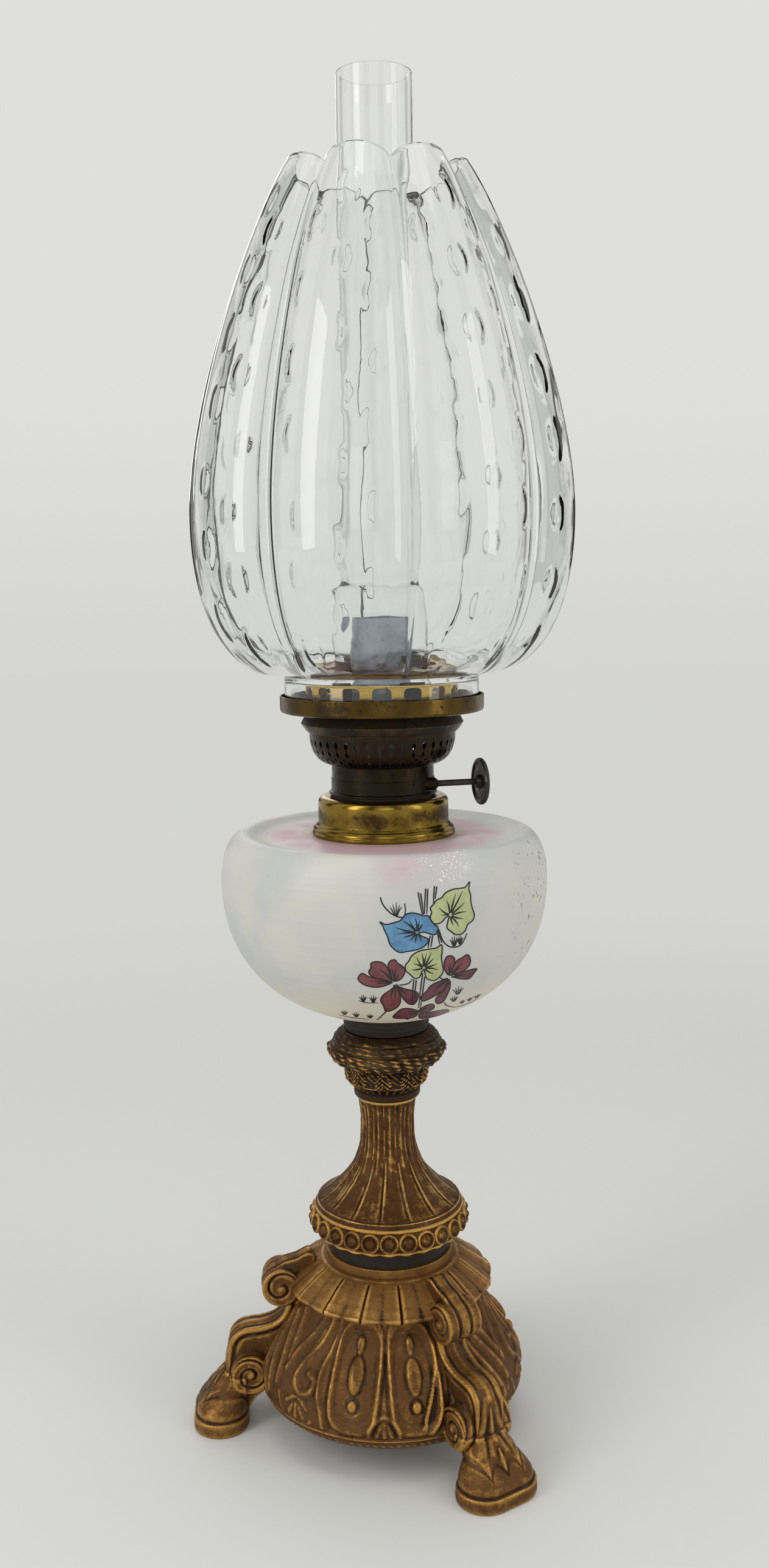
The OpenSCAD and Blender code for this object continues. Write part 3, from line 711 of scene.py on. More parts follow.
darkSteel = sheetBrass("darkWheel", {
    "metal": rgb(96, 92, 86),
    "oxide": rgb(40, 37, 34),
    "spots": rgb(22, 20, 18),
    "amount": 0.60,
    "rough": (0.28, 0.5),
    "metallic": (0.9, 0.6),
    "marks": 0.02,
})
print("metal finishes made")


def clearGlass(name, tint, ripple):
    material, tree, out = freshMaterial(name)
    place = shader(tree, "TexCoord").outputs["Object"]
    wavy = noise(tree, place, 60, 2, 0.5, 0.3)
    smear = spread(tree, noise(tree, place, 130, 4, 0.6, 0.5), 0.52, 0.8, 0.0, 0.04)
    inputs = {
        "Base Color": tint,
        "Metallic": 0.0,
        "Roughness": smear,
        "IOR": 1.49,
        "Transmission Weight": 1.0,
        "Normal": bumped(tree, wavy, ripple * mm),
    }
    glass = shader(tree, "BsdfPrincipled", inputs)
    clear = shader(tree, "BsdfTransparent", {"Color": (0.93, 0.94, 0.94, 1)})
    rays = shader(tree, "LightPath").outputs
    through = maths(tree, "MAXIMUM", rays["Is Shadow Ray"], rays["Is Diffuse Ray"])
    mix = shader(tree, "MixShader", {0: through, 1: glass.outputs[0], 2: clear.outputs[0]})
    tree.links.new(mix.outputs[0], out.inputs[0])
    return material


shadeGlass = clearGlass("pressedClearGlass", (0.985, 0.992, 0.988, 1), 0.10)
chimneyGlass = clearGlass("blownClearGlass", (0.985, 0.992, 0.99, 1), 0.06)

shadeValues = {
    "seat": 383.8,  # height of the neck's foot, mm
    "neck": 49.5,
    "neckHeight": 17.8,
    "widest": 97.7,
    "widestHeight": 95.8,
    "top": 262.7,
    "topRadius": 46.5,
    "wall": 3.0,
    "lobes": 8,
    "firstCrease": 10.0,  # degrees from the front towards the right
    "creaseDepth": 0.115,
    "scallop": 7.8,
    "printSize": (4.6, 8.6),  # half width and half height of a thumb print
    "printDepth": 0.60,
    "printPitch": 15.8,
    "rows": 130,
    "columns": 440,
    "seed": 7,
}


def shadeSide(values, inside):
    neck = values["neck"] - inside
    step = values["neckHeight"] + inside
    wide = values["widest"] - inside
    high = values["widestHeight"]
    line = [(neck, 0), (neck, step - 1.2), (neck + 1.6, step)]
    line += bezier((neck + 1.6, step), (wide, step), (wide, high - 10), (wide, high), 24)
    end = (values["topRadius"] - inside, values["top"])
    line += bezier((wide, high), (wide, 152.8), (63.5 - inside, 237.7), end, 40)
    return np.array(line, float)


def evenly(line, count):  # the same line with evenly spaced points
    steps = np.linalg.norm(np.diff(line, axis=0), axis=1)
    run = np.concatenate([[0], np.cumsum(steps)])
    want = np.linspace(0, run[-1], count)
    return np.stack([np.interp(want, run, line[:, 0]), np.interp(want, run, line[:, 1])], axis=1)


def shadeSurface(values, inside, rows, columns, prints):
    line = evenly(shadeSide(values, inside), rows)
    alpha = np.arange(columns) * 360 / columns
    arc = 360 / values["lobes"]
    place = (alpha - values["firstCrease"]) / arc
    lobe = np.floor(place).astype(int) % values["lobes"]
    u = (place - np.floor(place)) * 2 - 1
    r = np.repeat(line[:, :1], columns, axis=1)
    z = np.repeat(line[:, 1:], columns, axis=1)
    fade = np.clip((z - values["neckHeight"]) / 14, 0, 1)
    r = r * (1 - values["creaseDepth"] * fade * (0.75 * u ** 2 + 0.25 * np.abs(u) ** 6))
    rise = np.clip((z - 0.8 * values["top"]) / (0.2 * values["top"]), 0, 1)
    z = z - values["scallop"] * rise * (1 - np.sqrt(np.maximum(0, 1 - u ** 2)))
    if prints:
        chance = np.random.default_rng(values["seed"])
        halfWide, halfHigh = values["printSize"]
        push = np.zeros_like(r)
        row = 0
        height = 34.0
        while height < values["top"] - 12:
            for u0 in ((-0.52, 0.52) if row % 2 == 0 else (0.0,)):
                size = chance.uniform(0.75, 1.15, values["lobes"])[lobe]
                shift = chance.normal(0, 0.05, values["lobes"])[lobe]
                lift = chance.normal(0, 2.2, values["lobes"])[lobe]
                deep = chance.uniform(0.55, 1.1, values["lobes"])[lobe]
                across = (u - u0 - shift) * math.radians(arc / 2) * line[:, :1] / (halfWide * size)
                along = (z - height - lift) / (halfHigh * size)
                near = np.clip((1 - across ** 2 - along ** 2) / 0.4, 0, 1)
                push += values["printDepth"] * deep * near * near * (3 - 2 * near) * (1 if inside else -1)
            height += values["printPitch"]
            row += 1
        wave = np.radians(alpha)[None, :]
        push += 0.07 * np.sin(z / 9.0 + 3 * np.sin(wave * 3)) * np.sin(wave * 24 + z / 31) * fade
        push += 0.16 * np.sin(z / 17.0 + 5 * np.cos(wave * 2)) * np.cos(wave * 16 - z / 47) * fade
        r = r + push
    return alpha, r, z


def makeShade(values):
    rows, columns = values["rows"], values["columns"]
    alphaOut, rOut, zOut = shadeSurface(values, 0, rows, columns // 2, False)
    alphaIn, rIn, zIn = shadeSurface(values, values["wall"], rows, columns, True)
    points = []
    sheets = []
    for alpha, r, z in ((alphaOut, rOut, zOut), (alphaIn, rIn, zIn)):
        angle = np.radians(alpha)
        sheet = np.stack([r * np.sin(angle), -r * np.cos(angle), z + values["seat"]], axis=2)
        sheets.append(len(points))
        points.extend((sheet.reshape(-1, 3) * mm).tolist())
    half = columns // 2
    faces = []
    for row in range(rows - 1):
        for k in range(half):
            a = row * half + k
            b = row * half + (k + 1) % half
            faces.append((a, b, b + half, a + half))
        for k in range(columns):
            a = sheets[1] + row * columns + k
            b = sheets[1] + row * columns + (k + 1) % columns
            faces.append((a, a + columns, b + columns, b))
    lipSteps = 4

    def lipRing(row, t, lift):  # between outer and inner edge, rounded
        start = len(points)
        for k in range(half):
            out = Vector(points[row * half + k])
            inner = Vector(points[sheets[1] + row * columns + 2 * k])
            middle = (out + inner) / 2
            side = (out - inner) / 2
            turn = math.pi * t
            place = middle + side * math.cos(turn)
            place.z += lift * mm * math.sin(turn)
            points.append(tuple(place))
        return start

    last = rows - 1
    rings = [last * half]
    for k in range(1, lipSteps):
        rings.append(lipRing(last, k / lipSteps, 1.2))
    for low, high in zip(rings[:-1], rings[1:]):
        for k in range(half):
            after = (k + 1) % half
            faces.append((low + k, low + after, high + after, high + k))
    edge = sheets[1] + last * columns
    for k in range(half):
        after = (k + 1) % half
        ring = rings[-1]
        faces.append((ring + k, ring + after, edge + (2 * k + 2) % columns, edge + 2 * k + 1, edge + 2 * k))
    foot = sheets[1]
    for k in range(half):
        after = (k + 1) % half
        faces.append((after, k, foot + 2 * k, foot + 2 * k + 1, foot + (2 * k + 2) % columns))
    piece = meshPiece("lobed_glass_shade", points, faces, 60)
    return dress(piece, shadeGlass, "shade")


makeShade(shadeValues)

chimneyValues = {"seat": 383.8, "foot": 25.3, "waist": 19.4, "bulge": 21.5, "tube": 18.55, "top": 306.8, "wall": 1.8}


def makeChimney(values):
    def side(k):
        foot, waist, bulge, tube = (values[n] - k for n in ("foot", "waist", "bulge", "tube"))
        line = [(foot, 0), (foot, 55.2)]
        line += bezier((foot, 55.2), (foot, 62.2), (waist, 60.2), (waist, 65.2), 14)
        line += bezier((waist, 65.2), (waist, 68.7), (bulge, 70.2), (bulge, 75.2), 12)
        line += bezier((bulge, 75.2), (bulge, 99.2), (tube, 113.2), (tube, 137.2), 20)
        return line + [(tube, values["top"])]

    profile = side(0) + side(values["wall"])[::-1]
    profile = denser(softened(profile, 0.8, 5), 4)
    profile = lifted(profile, values["seat"])

    def wobble(alpha, r, z, out):
        angle = np.radians(alpha)
        free = np.clip((values["seat"] + values["top"] - 3 - z) / 30, 0, 1)
        return 0.10 * np.sin(3 * angle + z / 37) * np.sin(z / 23) * free * (out < 0)

    piece = turned("glass_chimney", profile, 120, wobble, smoothBelow=60)
    return dress(piece, chimneyGlass, "chimney")


makeChimney(chimneyValues)
print("shade and chimney made")


def makeRingTree():  # turns copies of one part round the lamp's axis
    tree = bpy.data.node_groups.new("ringArray", "GeometryNodeTree")
    face = tree.interface
    face.new_socket(name="Geometry", in_out="INPUT", socket_type="NodeSocketGeometry")
    face.new_socket(name="Count", in_out="INPUT", socket_type="NodeSocketInt")
    face.new_socket(name="Join Distance", in_out="INPUT", socket_type="NodeSocketFloat")
    face.new_socket(name="Material", in_out="INPUT", socket_type="NodeSocketMaterial")
    face.new_socket(name="Geometry", in_out="OUTPUT", socket_type="NodeSocketGeometry")
    start = put(tree, "NodeGroupInput").outputs
    end = put(tree, "NodeGroupOutput").inputs
    points = put(tree, "GeometryNodePoints", {"Count": start["Count"]}).outputs[0]
    index = put(tree, "GeometryNodeInputIndex").outputs[0]
    step = maths(tree, "DIVIDE", fullTurn, start["Count"])
    turn = shader(tree, "CombineXYZ", {"Z": maths(tree, "MULTIPLY", index, step)}).outputs[0]
    inputs = {"Points": points, "Instance": start["Geometry"], "Rotation": turn}
    placed = put(tree, "GeometryNodeInstanceOnPoints", inputs).outputs[0]
    solid = put(tree, "GeometryNodeRealizeInstances", {"Geometry": placed}).outputs[0]
    inputs = {"Geometry": solid, "Distance": start["Join Distance"]}
    joined = put(tree, "GeometryNodeMergeByDistance", inputs).outputs[0]
    inputs = {"Geometry": joined, "Material": start["Material"]}
    done = put(tree, "GeometryNodeSetMaterial", inputs).outputs[0]
    tree.links.new(done, end[0])
    return tree


def grown(source, tree, inputs, name, smoothBelow=35):  # runs a tree on one object and keeps the plain mesh
    modifier = source.modifiers.new("nodes", "NODES")
    modifier.node_group = tree
    for item in tree.interface.items_tree:
        if item.item_type == "SOCKET" and item.in_out == "INPUT" and item.name in inputs:
            modifier[item.identifier] = inputs[item.name]
    bpy.context.view_layer.update()
    graph = bpy.context.evaluated_depsgraph_get()
    mesh = bpy.data.meshes.new_from_object(source.evaluated_get(graph), depsgraph=graph)
    bpy.data.objects.remove(source)
    mesh.name = name
    mesh.polygons.foreach_set("use_smooth", [True] * len(mesh.polygons))
    mesh.set_sharp_from_angle(angle=math.radians(smoothBelow))
    piece = bpy.data.objects.new(name, mesh)
    scene.collection.objects.link(piece)
    return piece


ringTree = makeRingTree()


def ringOf(unit, count, material, name, join=0.00002, smoothBelow=35):
    inputs = {"Count": count, "Join Distance": join, "Material": material}
    return grown(unit, ringTree, inputs, name, smoothBelow)


def insideOutline(point, outline):
    x, y = point
    found = False
    for (x0, y0), (x1, y1) in zip(outline, outline[1:] + outline[:1]):
        if (y0 > y) != (y1 > y) and x < (x1 - x0) * (y - y0) / (y1 - y0) + x0:
            found = not found
    return found


def sheetSector(name, count, outerLine, innerLine, holes, across=6, along=1.4):
    # one sector of a pierced sheet; holes are outlines of (share of the sector -0.5..0.5, run along the outer line)
    outerLine = np.array(outerLine, float)
    innerLine = np.array(innerLine, float)
    steps = np.linalg.norm(np.diff(outerLine, axis=0), axis=1)
    run = np.concatenate([[0], np.cumsum(steps)])
    rows = []
    for low, high in zip(run[:-1], run[1:]):
        parts = max(1, math.ceil((high - low) / along))
        rows += [low + (high - low) * k / parts for k in range(parts)]
    rows.append(run[-1])
    points = []
    edges = []

    def addLoop(loop):
        start = len(points)
        points.extend(Vector(p) for p in loop)
        size = len(loop)
        edges.extend((start + k, start + (k + 1) % size) for k in range(size))

    lowEdge = [(-0.5 + k / across, 0.0) for k in range(across)]
    rightSide = [(0.5, s) for s in rows[:-1]]
    highEdge = [(0.5 - k / across, run[-1]) for k in range(across)]
    leftSide = [(-0.5, s) for s in rows[:0:-1]]
    addLoop(lowEdge + rightSide + highEdge + leftSide)
    for hole in holes:
        addLoop(hole)
    for s in rows[1:-1]:
        for k in range(1, across):
            spot = (-0.5 + k / across, s)
            close = any(math.hypot((spot[0] - a) * 5, spot[1] - b) < 0.35 for hole in holes for a, b in hole)
            if not close and not any(insideOutline(spot, hole) for hole in holes):
                points.append(Vector(spot))
    flat, _, triangles, _, _, _ = delaunay_2d_cdt(points, edges, [], 0, 1e-6, False)
    kept = []
    for triangle in triangles:
        centre = sum((Vector(flat[i]) for i in triangle), Vector((0, 0))) / 3
        if not any(insideOutline(tuple(centre), hole) for hole in holes):
            kept.append(tuple(triangle))
    places = []
    for line in (outerLine, innerLine):
        for f, s in flat:
            r = np.interp(s, run, line[:, 0])
            z = np.interp(s, run, line[:, 1])
            angle = f * fullTurn / count
            places.append((r * math.sin(angle) * mm, -r * math.cos(angle) * mm, z * mm))
    size = len(flat)
    faces = []
    borders = {}
    for a, b, c in kept:
        if (flat[b] - flat[a]).cross(flat[c] - flat[a]) < 0:
            a, b, c = a, c, b
        faces.append((a, b, c))
        faces.append((a + size, c + size, b + size))
        for edge in ((a, b), (b, c), (c, a)):
            if edge[::-1] in borders:
                del borders[edge[::-1]]
            else:
                borders[edge] = True
    for a, b in borders:
        onSide = abs(abs(flat[a][0]) - 0.5) < 1e-5 and abs(flat[a][0] - flat[b][0]) < 1e-5
        if not onSide:
            faces.append((b, a, a + size, b + size))
    return meshPiece(name, places, faces)


def oval(centre, halfWide, halfHigh, count=12, power=1.0):
    made = []
    for k in range(count):
        turn = fullTurn * k / count
        x, y = math.cos(turn), math.sin(turn)
        made.append((
            centre[0] + halfWide * math.copysign(abs(x) ** power, x),
            centre[1] + halfHigh * math.copysign(abs(y) ** power, y),
        ))
    return made


basketValues = {
    "seat": 356.0,
    "sectors": 40,
    "height": 16.5,
    "sheet": 0.8,
    "keyhole": [  # half widths as a share of one sector, and distances below the top edge
        (0.00, 2.5), (0.14, 3.7), (0.20, 4.6), (0.14, 5.5), (0.045, 6.5), (0.045, 7.9),
        (0.12, 8.6), (0.17, 9.4), (0.10, 10.2), (0.00, 10.9),
    ],
    "dot": (12.4, 0.15, 0.62),  # distance below the top, half width, half height
    "drop": [(0.00, 13.0), (0.13, 13.9), (0.17, 14.6), (0.06, 15.5), (0.04, 16.6), (0.11, 17.4), (0.00, 18.6)],
}


def makeBasket(values):
    def side(k):
        line = [(26.5 - k, 0.0), (27.0 - k, 0.2)]
        return line + bezier((27 - k, 0.2), (33 - k, 1), (37.4 - k, 5.94), (37.4 - k, values["height"]), 16)

    outer = lifted(side(0), values["seat"])
    inner = lifted(side(values["sheet"]), values["seat"])
    length = sum(math.dist(a, b) for a, b in zip(outer[:-1], outer[1:]))

    def outline(halves, middle):
        right = [(middle + w, length - d) for w, d in halves]
        left = [(middle - w, length - d) for w, d in halves[::-1] if w > 0]
        return right + left

    depth, halfWide, halfHigh = values["dot"]
    holes = [outline(values["keyhole"], -0.25), oval((0.25, length - depth), halfWide, halfHigh, 10)]
    holes.append(outline(values["drop"], -0.25))
    unit = sheetSector("basketSector", values["sectors"], outer, inner, holes)
    piece = ringOf(unit, values["sectors"], basketBrass, "pierced_air_bowl")
    markRidges(piece, 2, 0.2)
    return dress(piece, basketBrass, "burner_basket")


crownValues = {"seat": 383.8, "openings": 16, "opening": (9.3, 6.7), "corner": 0.62, "middle": 9.75}


def makeCrown(values):
    outer = [(42, 0.8), (39.4, 0.8), (39, 1.2), (39, 13.6), (38.8, 14.2), (38.2, 14.8), (37.6, 15.2), (28.9, 15.2), (28.6, 15.0)]
    inner = [(42, 0.0), (38.6, 0.0), (38.2, 0.4), (38.2, 13.3), (38.1, 13.8), (37.8, 14.2), (37.4, 14.4), (28.9, 14.4), (28.6, 14.6)]
    wide, high = values["opening"]
    share = wide / (39 * fullTurn / values["openings"]) / 2
    reach = math.dist(outer[0], outer[1]) + math.dist(outer[1], outer[2]) + values["middle"] - 1.2
    hole = oval((0.0, reach), share, high / 2, 28, values["corner"])
    lift = values["seat"]
    unit = sheetSector("crownSector", values["openings"], lifted(outer, lift), lifted(inner, lift), [hole], 12, 2.0)
    piece = ringOf(unit, values["openings"], crownBrass, "air_crown_ring")
    markRidges(piece, 2, 0.2)
    return dress(piece, crownBrass, "air_crown")


makeBasket(basketValues)
makeCrown(crownValues)


def spun(name, profile, seat, material, node, steps=200, radius=0.3, relief=None, step=1.2, passes=4):
    line = denser(softened(lifted(profile, seat), radius), step, isClosed(profile))
    piece = turned(name, line, steps, relief)
    markRidges(piece, passes)
    return dress(piece, material, node)


burnerValues = {  # heights of the seats, mm
    "ring": 383.0,
    "deck": 372.5,
    "base": 340.8,
    "collar": 319.7,
    "gasket": 339.6,
}


def makeTurnedBrass(values):
    ring = [(27.6, 0), (50.6, 0), (51.6, 0.4), (52, 1.4), (52, 8.4), (51.2, 8.4), (51.2, 1.6), (50.4, 0.8), (27.6, 0.8)]
    spun("shade_carrier", ring, values["ring"], ringBrass, "shade_ring", 256, 0.25)
    deck = [
        (36.6, 0), (37.6, 0), (38.3, 0.25), (38.5, 0.75), (39.3, 1.2), (41.4, 4.4), (41.5, 4.7), (41.2, 5.2),
        (38.5, 10.5), (24, 10.5), (24, 9.7), (38, 9.7), (40.4, 4.73), (38.3, 1.7), (36.6, 0.8),
    ]
    spun("spun_deck", deck, values["deck"], deckBrass, "burner_deck", 256, 0.2)
    base = [
        (24.7, -7.3), (24.7, 0), (27.7, 0), (27.7, 0.9), (27.2, 1.4), (26.5, 1.5), (26.5, 8.0), (26.15, 8.4),
        (26.15, 14.6), (26.5, 15.2), (25.5, 15.2), (25.5, 1), (23.7, 0.3), (23.7, -2.8), (15, -2.8), (15, -4),
        (23.7, -4), (23.7, -7.3),
    ]
    spun("burner_tube", base, values["base"], burnerBrass, "burner_base", 160, 0.2)
    inside = [(35.4, 0), (36, 1.2), (36, 3), (34.2, 4.8), (32.7, 6.3), (32.7, 16.5)]
    inside += bezier((32.7, 16.5), (32.7, 18.3), (31.5, 19.1), (30.3, 19.1), 8) + [(25.8, 19.1)]
    outside = [(36.2, 0), (36.75, 0.5), (36.8, 1.6), (36.3, 2.2), (36.1, 2.5), (36.3, 2.8), (36.2, 3.6), (35.2, 4.8)]
    outside += [(34.6, 5.2), (34.3, 5.7), (33.5, 6.6), (33.5, 16.5)]
    outside += bezier((33.5, 16.5), (33.5, 18.7), (31.9, 19.9), (30.3, 19.9), 10) + [(25, 19.9), (25, 8.6), (25.8, 8.6)]
    collar = outside + inside[::-1]
    spun("font_collar_shell", collar, values["collar"], collarBrass, "font_collar", 192, 0.2)


makeTurnedBrass(burnerValues)


def shaftFrame():  # z runs along the wick shaft, from the point nearest the lamp's axis
    turn = Matrix.Rotation(math.radians(15), 4, "Z")
    return turn @ Matrix.Translation((0, -18.2 * mm, 346.4 * mm)) @ Matrix.Rotation(math.pi / 2, 4, "Y")


wheelValues = {"radius": 12.0, "from": 45.4, "knurls": 72, "shaft": 1.6, "shaftEnds": (-12, 48.4)}


def makeRaiser(values):
    wheel = [
        (1.6, -1.6), (3, -1.6), (3.6, 0.7), (9.4, 0.7), (10.2, 0), (11.4, 0), (12, 0.6), (12, 1.8),
        (11.4, 2.4), (10.2, 2.4), (9.4, 1.8), (3.6, 1.8), (1.6, 2.0),
    ]

    def knurled(alpha, r, z, out):
        wave = 0.5 + 0.5 * np.cos(np.radians(alpha) * values["knurls"])
        return -0.16 * wave * (r > values["radius"] - 0.3)

    line = denser(softened(lifted(wheel, values["from"]), 0.2), 1.0)
    piece = turned("wick_wheel", line, values["knurls"] * 4, knurled)
    piece.data.transform(shaftFrame())
    markRidges(piece, 3, 0.15)
    dress(piece, darkSteel, "thumbwheel")
    low, high = values["shaftEnds"]
    rod = [(0, low), (1.3, low), (1.6, low + 0.3), (1.6, high - 0.4), (1.2, high), (0, high)]
    piece = turned("wick_rod", denser(rod, 2.0, False), 40)
    piece.data.transform(shaftFrame())
    markRidges(piece, 2, 0.15)
    dress(piece, darkSteel, "wick_shaft")
    gland = [(1.67, 15.06), (2.9, 15.06), (3.2, 15.4), (3.2, 22.2), (2.6, 22.9), (2.4, 23.46), (1.67, 23.46)]
    piece = turned("shaft_gland_sleeve", denser(softened(gland, 0.2), 0.8), 48)
    piece.data.transform(shaftFrame())
    markRidges(piece, 2, 0.2)
    dress(piece, burnerBrass, "shaft_gland")


makeRaiser(wheelValues)


def makeFelt(name, tone, dark, scale):  # leather, cotton and plaster: soft colour changes and a fine nap
    material, tree, out = freshMaterial(name)
    place = shader(tree, "TexCoord").outputs["Object"]
    cloud = noise(tree, place, scale, 5, 0.62, 0.3)
    grain = noise(tree, place, scale * 9, 3, 0.6)
    colour = blendColours(tree, spread(tree, cloud, 0.38, 0.66), tone, dark)
    inputs = {
        "Base Color": colour,
        "Roughness": spread(tree, grain, 0.2, 0.8, 0.62, 0.92, False),
        "Metallic": 0.0,
        "Normal": bumped(tree, grain, 0.2 * mm),
    }
    face = shader(tree, "BsdfPrincipled", inputs)
    tree.links.new(face.outputs[0], out.inputs[0])
    return material


darkLeather = makeFelt("oilDarkLeather", rgb(44, 34, 26), rgb(22, 18, 15), 160)
plasterWhite = makeFelt("oldPlaster", rgb(214, 200, 176), rgb(150, 122, 92), 240)
cottonWick = makeFelt("wickCotton", rgb(206, 198, 178), rgb(176, 164, 140), 300)


def makeWickAndTubes():
    gasket = [(25, 0), (26.8, 0), (26.8, 1.2), (25, 1.2)]
    spun("foot_gasket", gasket, burnerValues["gasket"], darkLeather, "burner_gasket", 160, 0.3)
    tube = [(14.4, 358.0), (15, 358.0), (15, 429), (14.4, 429)]
    piece = turned("wick_tube_sleeve", denser(softened(tube, 0.2), 4), 128)
    low = [(14.4, 336.8), (15, 336.8), (15, 358.0), (14.4, 358.0)]
    lower = turned("tubeFoot", denser(low, 4), 110, None, (195 + 17, 195 + 343))
    with bpy.context.temp_override(active_object=piece, selected_editable_objects=[piece, lower]):
        bpy.ops.object.join()
    markRidges(piece, 2, 0.2)
    dress(piece, tubeTin, "wick_tube")
    band = [(11.3, 247), (14.05, 247), (14.05, 427), (11.3, 427)]

    def woven(alpha, r, z, out):
        return 0.09 * np.sin(np.radians(alpha) * 60) * np.sin(z * 2.6) * (np.abs(out) > 0.5)

    piece = turned("round_wick", denser(softened(band, 0.8, 4), 1.0), 140, woven, (195 + 22, 195 + 338))
    dress(piece, cottonWick, "wick")
    recolour("draught_tube", tubeTin)
    recolour("chimney_holder", burnerBrass)
    recolour("shaft_bracket", burnerBrass)
    recolour("cog_wheels", burnerBrass)
    recolour("tie_rod", plainSteel)
    recolour("tie_nut", plainSteel)
    recolour("tie_washer", plainSteel)
    recolour("socket_plaster", plasterWhite)
    recolour("collar_plaster", plasterWhite)


makeWickAndTubes()
print("burner made")


def window(value, low, high, soft):  # 1 between low and high, with soft edges
    up = np.clip((value - low) / soft + 0.5, 0, 1)
    down = np.clip((high - value) / soft + 0.5, 0, 1)
    return up * up * (3 - 2 * up) * down * down * (3 - 2 * down)


def hump(value, centre, width):
    return np.exp(-(((value - centre) / width) ** 2))


def nearest(alpha, first, pitch):  # degrees from the nearest of evenly spaced lines
    return (alpha - first + pitch / 2) % pitch - pitch / 2


def fontCurve(inset):
    k = inset
    line = bezier((22 - k, k), (42.3 - k, 2.7 + k), (84 - k, 18.46 + k / 2), (84 - k, 71), 24)
    line += bezier((84 - k, 71), (84 - k, 91 - k), (76.5 - k, 95.9 - k), (72.5 - k, 95.9 - k), 12)
    line += bezier((72.5 - k, 95.9 - k), (68.5 - k, 95.9 - k), (66 - k, 93.4 - k), (60 - k, 93.4 - k), 6)
    return line


fontValues = {
    "seat": 225.6,
    "wall": 4.0,
    "pale": rgb(208, 205, 197),
    "cloud": rgb(194, 196, 195),
    "ivory": rgb(222, 212, 190),
    "pink": rgb(206, 164, 176),
    "stain": rgb(176, 156, 132),
    "speck": rgb(112, 78, 44),
    "flake": rgb(250, 250, 248),
}


def makeFrostedGlass(values):
    material, tree, out = freshMaterial("frostedOpalGlass")
    place = shader(tree, "TexCoord").outputs["Object"]
    x, y, z = shader(tree, "SeparateXYZ", {0: place}).outputs
    radius = maths(tree, "SQRT", maths(tree, "ADD", maths(tree, "MULTIPLY", x, x), maths(tree, "MULTIPLY", y, y)))
    cloud = noise(tree, place, 16, 4, 0.55, 0.5)
    patchy = noise(tree, place, 55, 4, 0.6, 0.3)
    grain = noise(tree, place, 1300, 2, 0.5)
    tone = blendColours(tree, spread(tree, cloud, 0.36, 0.62), values["pale"], values["cloud"])
    low = spread(tree, z, 0.232, 0.262, 1.0, 0.0)
    tone = blendColours(tree, low, tone, values["ivory"])
    dish = maths(tree, "MULTIPLY", spread(tree, radius, 0.052, 0.064, 1.0, 0.0), spread(tree, z, 0.312, 0.317))
    dish = maths(tree, "MULTIPLY", dish, spread(tree, patchy, 0.30, 0.55, 0.45, 1.0))
    tone = blendColours(tree, maths(tree, "MULTIPLY", dish, 0.85), tone, values["pink"])
    front = spread(tree, y, -0.05, -0.03, 1.0, 0.0)
    side = maths(tree, "MULTIPLY", spread(tree, x, -0.012, 0.008), spread(tree, x, 0.02, 0.042, 1.0, 0.0))
    blush = maths(tree, "MULTIPLY", side, maths(tree, "MULTIPLY", front, spread(tree, z, 0.302, 0.315)))
    share = maths(tree, "MULTIPLY", blush, spread(tree, patchy, 0.35, 0.65, 0.1, 0.5))
    tone = blendColours(tree, share, tone, values["pink"])
    foot = maths(tree, "MULTIPLY", spread(tree, radius, 0.037, 0.046, 1.0, 0.0), spread(tree, z, 0.312, 0.317))
    tone = blendColours(tree, maths(tree, "MULTIPLY", foot, 0.6), tone, values["stain"])
    dots = spread(tree, noise(tree, place, 380, 1, 0.4), 0.675, 0.700)
    where = maths(tree, "MAXIMUM", spread(tree, x, 0.056, 0.076), spread(tree, cloud, 0.60, 0.68, 0.0, 0.5))
    where = maths(tree, "MULTIPLY", where, spread(tree, noise(tree, place, 90, 2, 0.5), 0.42, 0.58))
    tone = blendColours(tree, maths(tree, "MULTIPLY", dots, where), tone, values["speck"])
    chips = spread(tree, noise(tree, place, 1250, 2, 0.5), 0.60, 0.64)
    region = maths(tree, "MULTIPLY", spread(tree, x, 0.010, 0.020), spread(tree, x, 0.036, 0.044, 1.0, 0.0))
    region = maths(tree, "MULTIPLY", region, maths(tree, "MULTIPLY", front, spread(tree, z, 0.304, 0.312)))
    region = maths(tree, "MULTIPLY", region, spread(tree, patchy, 0.40, 0.55))
    tone = blendColours(tree, maths(tree, "MULTIPLY", chips, region), tone, values["flake"])
    inputs = {
        "Base Color": tone,
        "Roughness": spread(tree, patchy, 0.3, 0.7, 0.34, 0.50, False),
        "Metallic": 0.0,
        "Specular IOR Level": 0.42,
        "Normal": bumped(tree, grain, 0.05 * mm),
    }
    face = shader(tree, "BsdfPrincipled", inputs)
    tree.links.new(face.outputs[0], out.inputs[0])
    return material


frostedGlass = makeFrostedGlass(fontValues)


def makeFont(values):
    wall = values["wall"]
    line = [(0, -3.2), (14.5, -3.2), (14.5, 0), (22, 0)] + fontCurve(0)
    line += [(41.8, 94.1), (30, 94.1), (30, 110.1), (26.2, 110.1), (26.2, 90.1)]
    line += fontCurve(wall)[::-1] + [(14.5, wall), (0, wall)]
    spun("frosted_glass_font", line, values["seat"], frostedGlass, "glass_font", 150, 0.6, None, 2.2)


makeFont(fontValues)
print("font made")


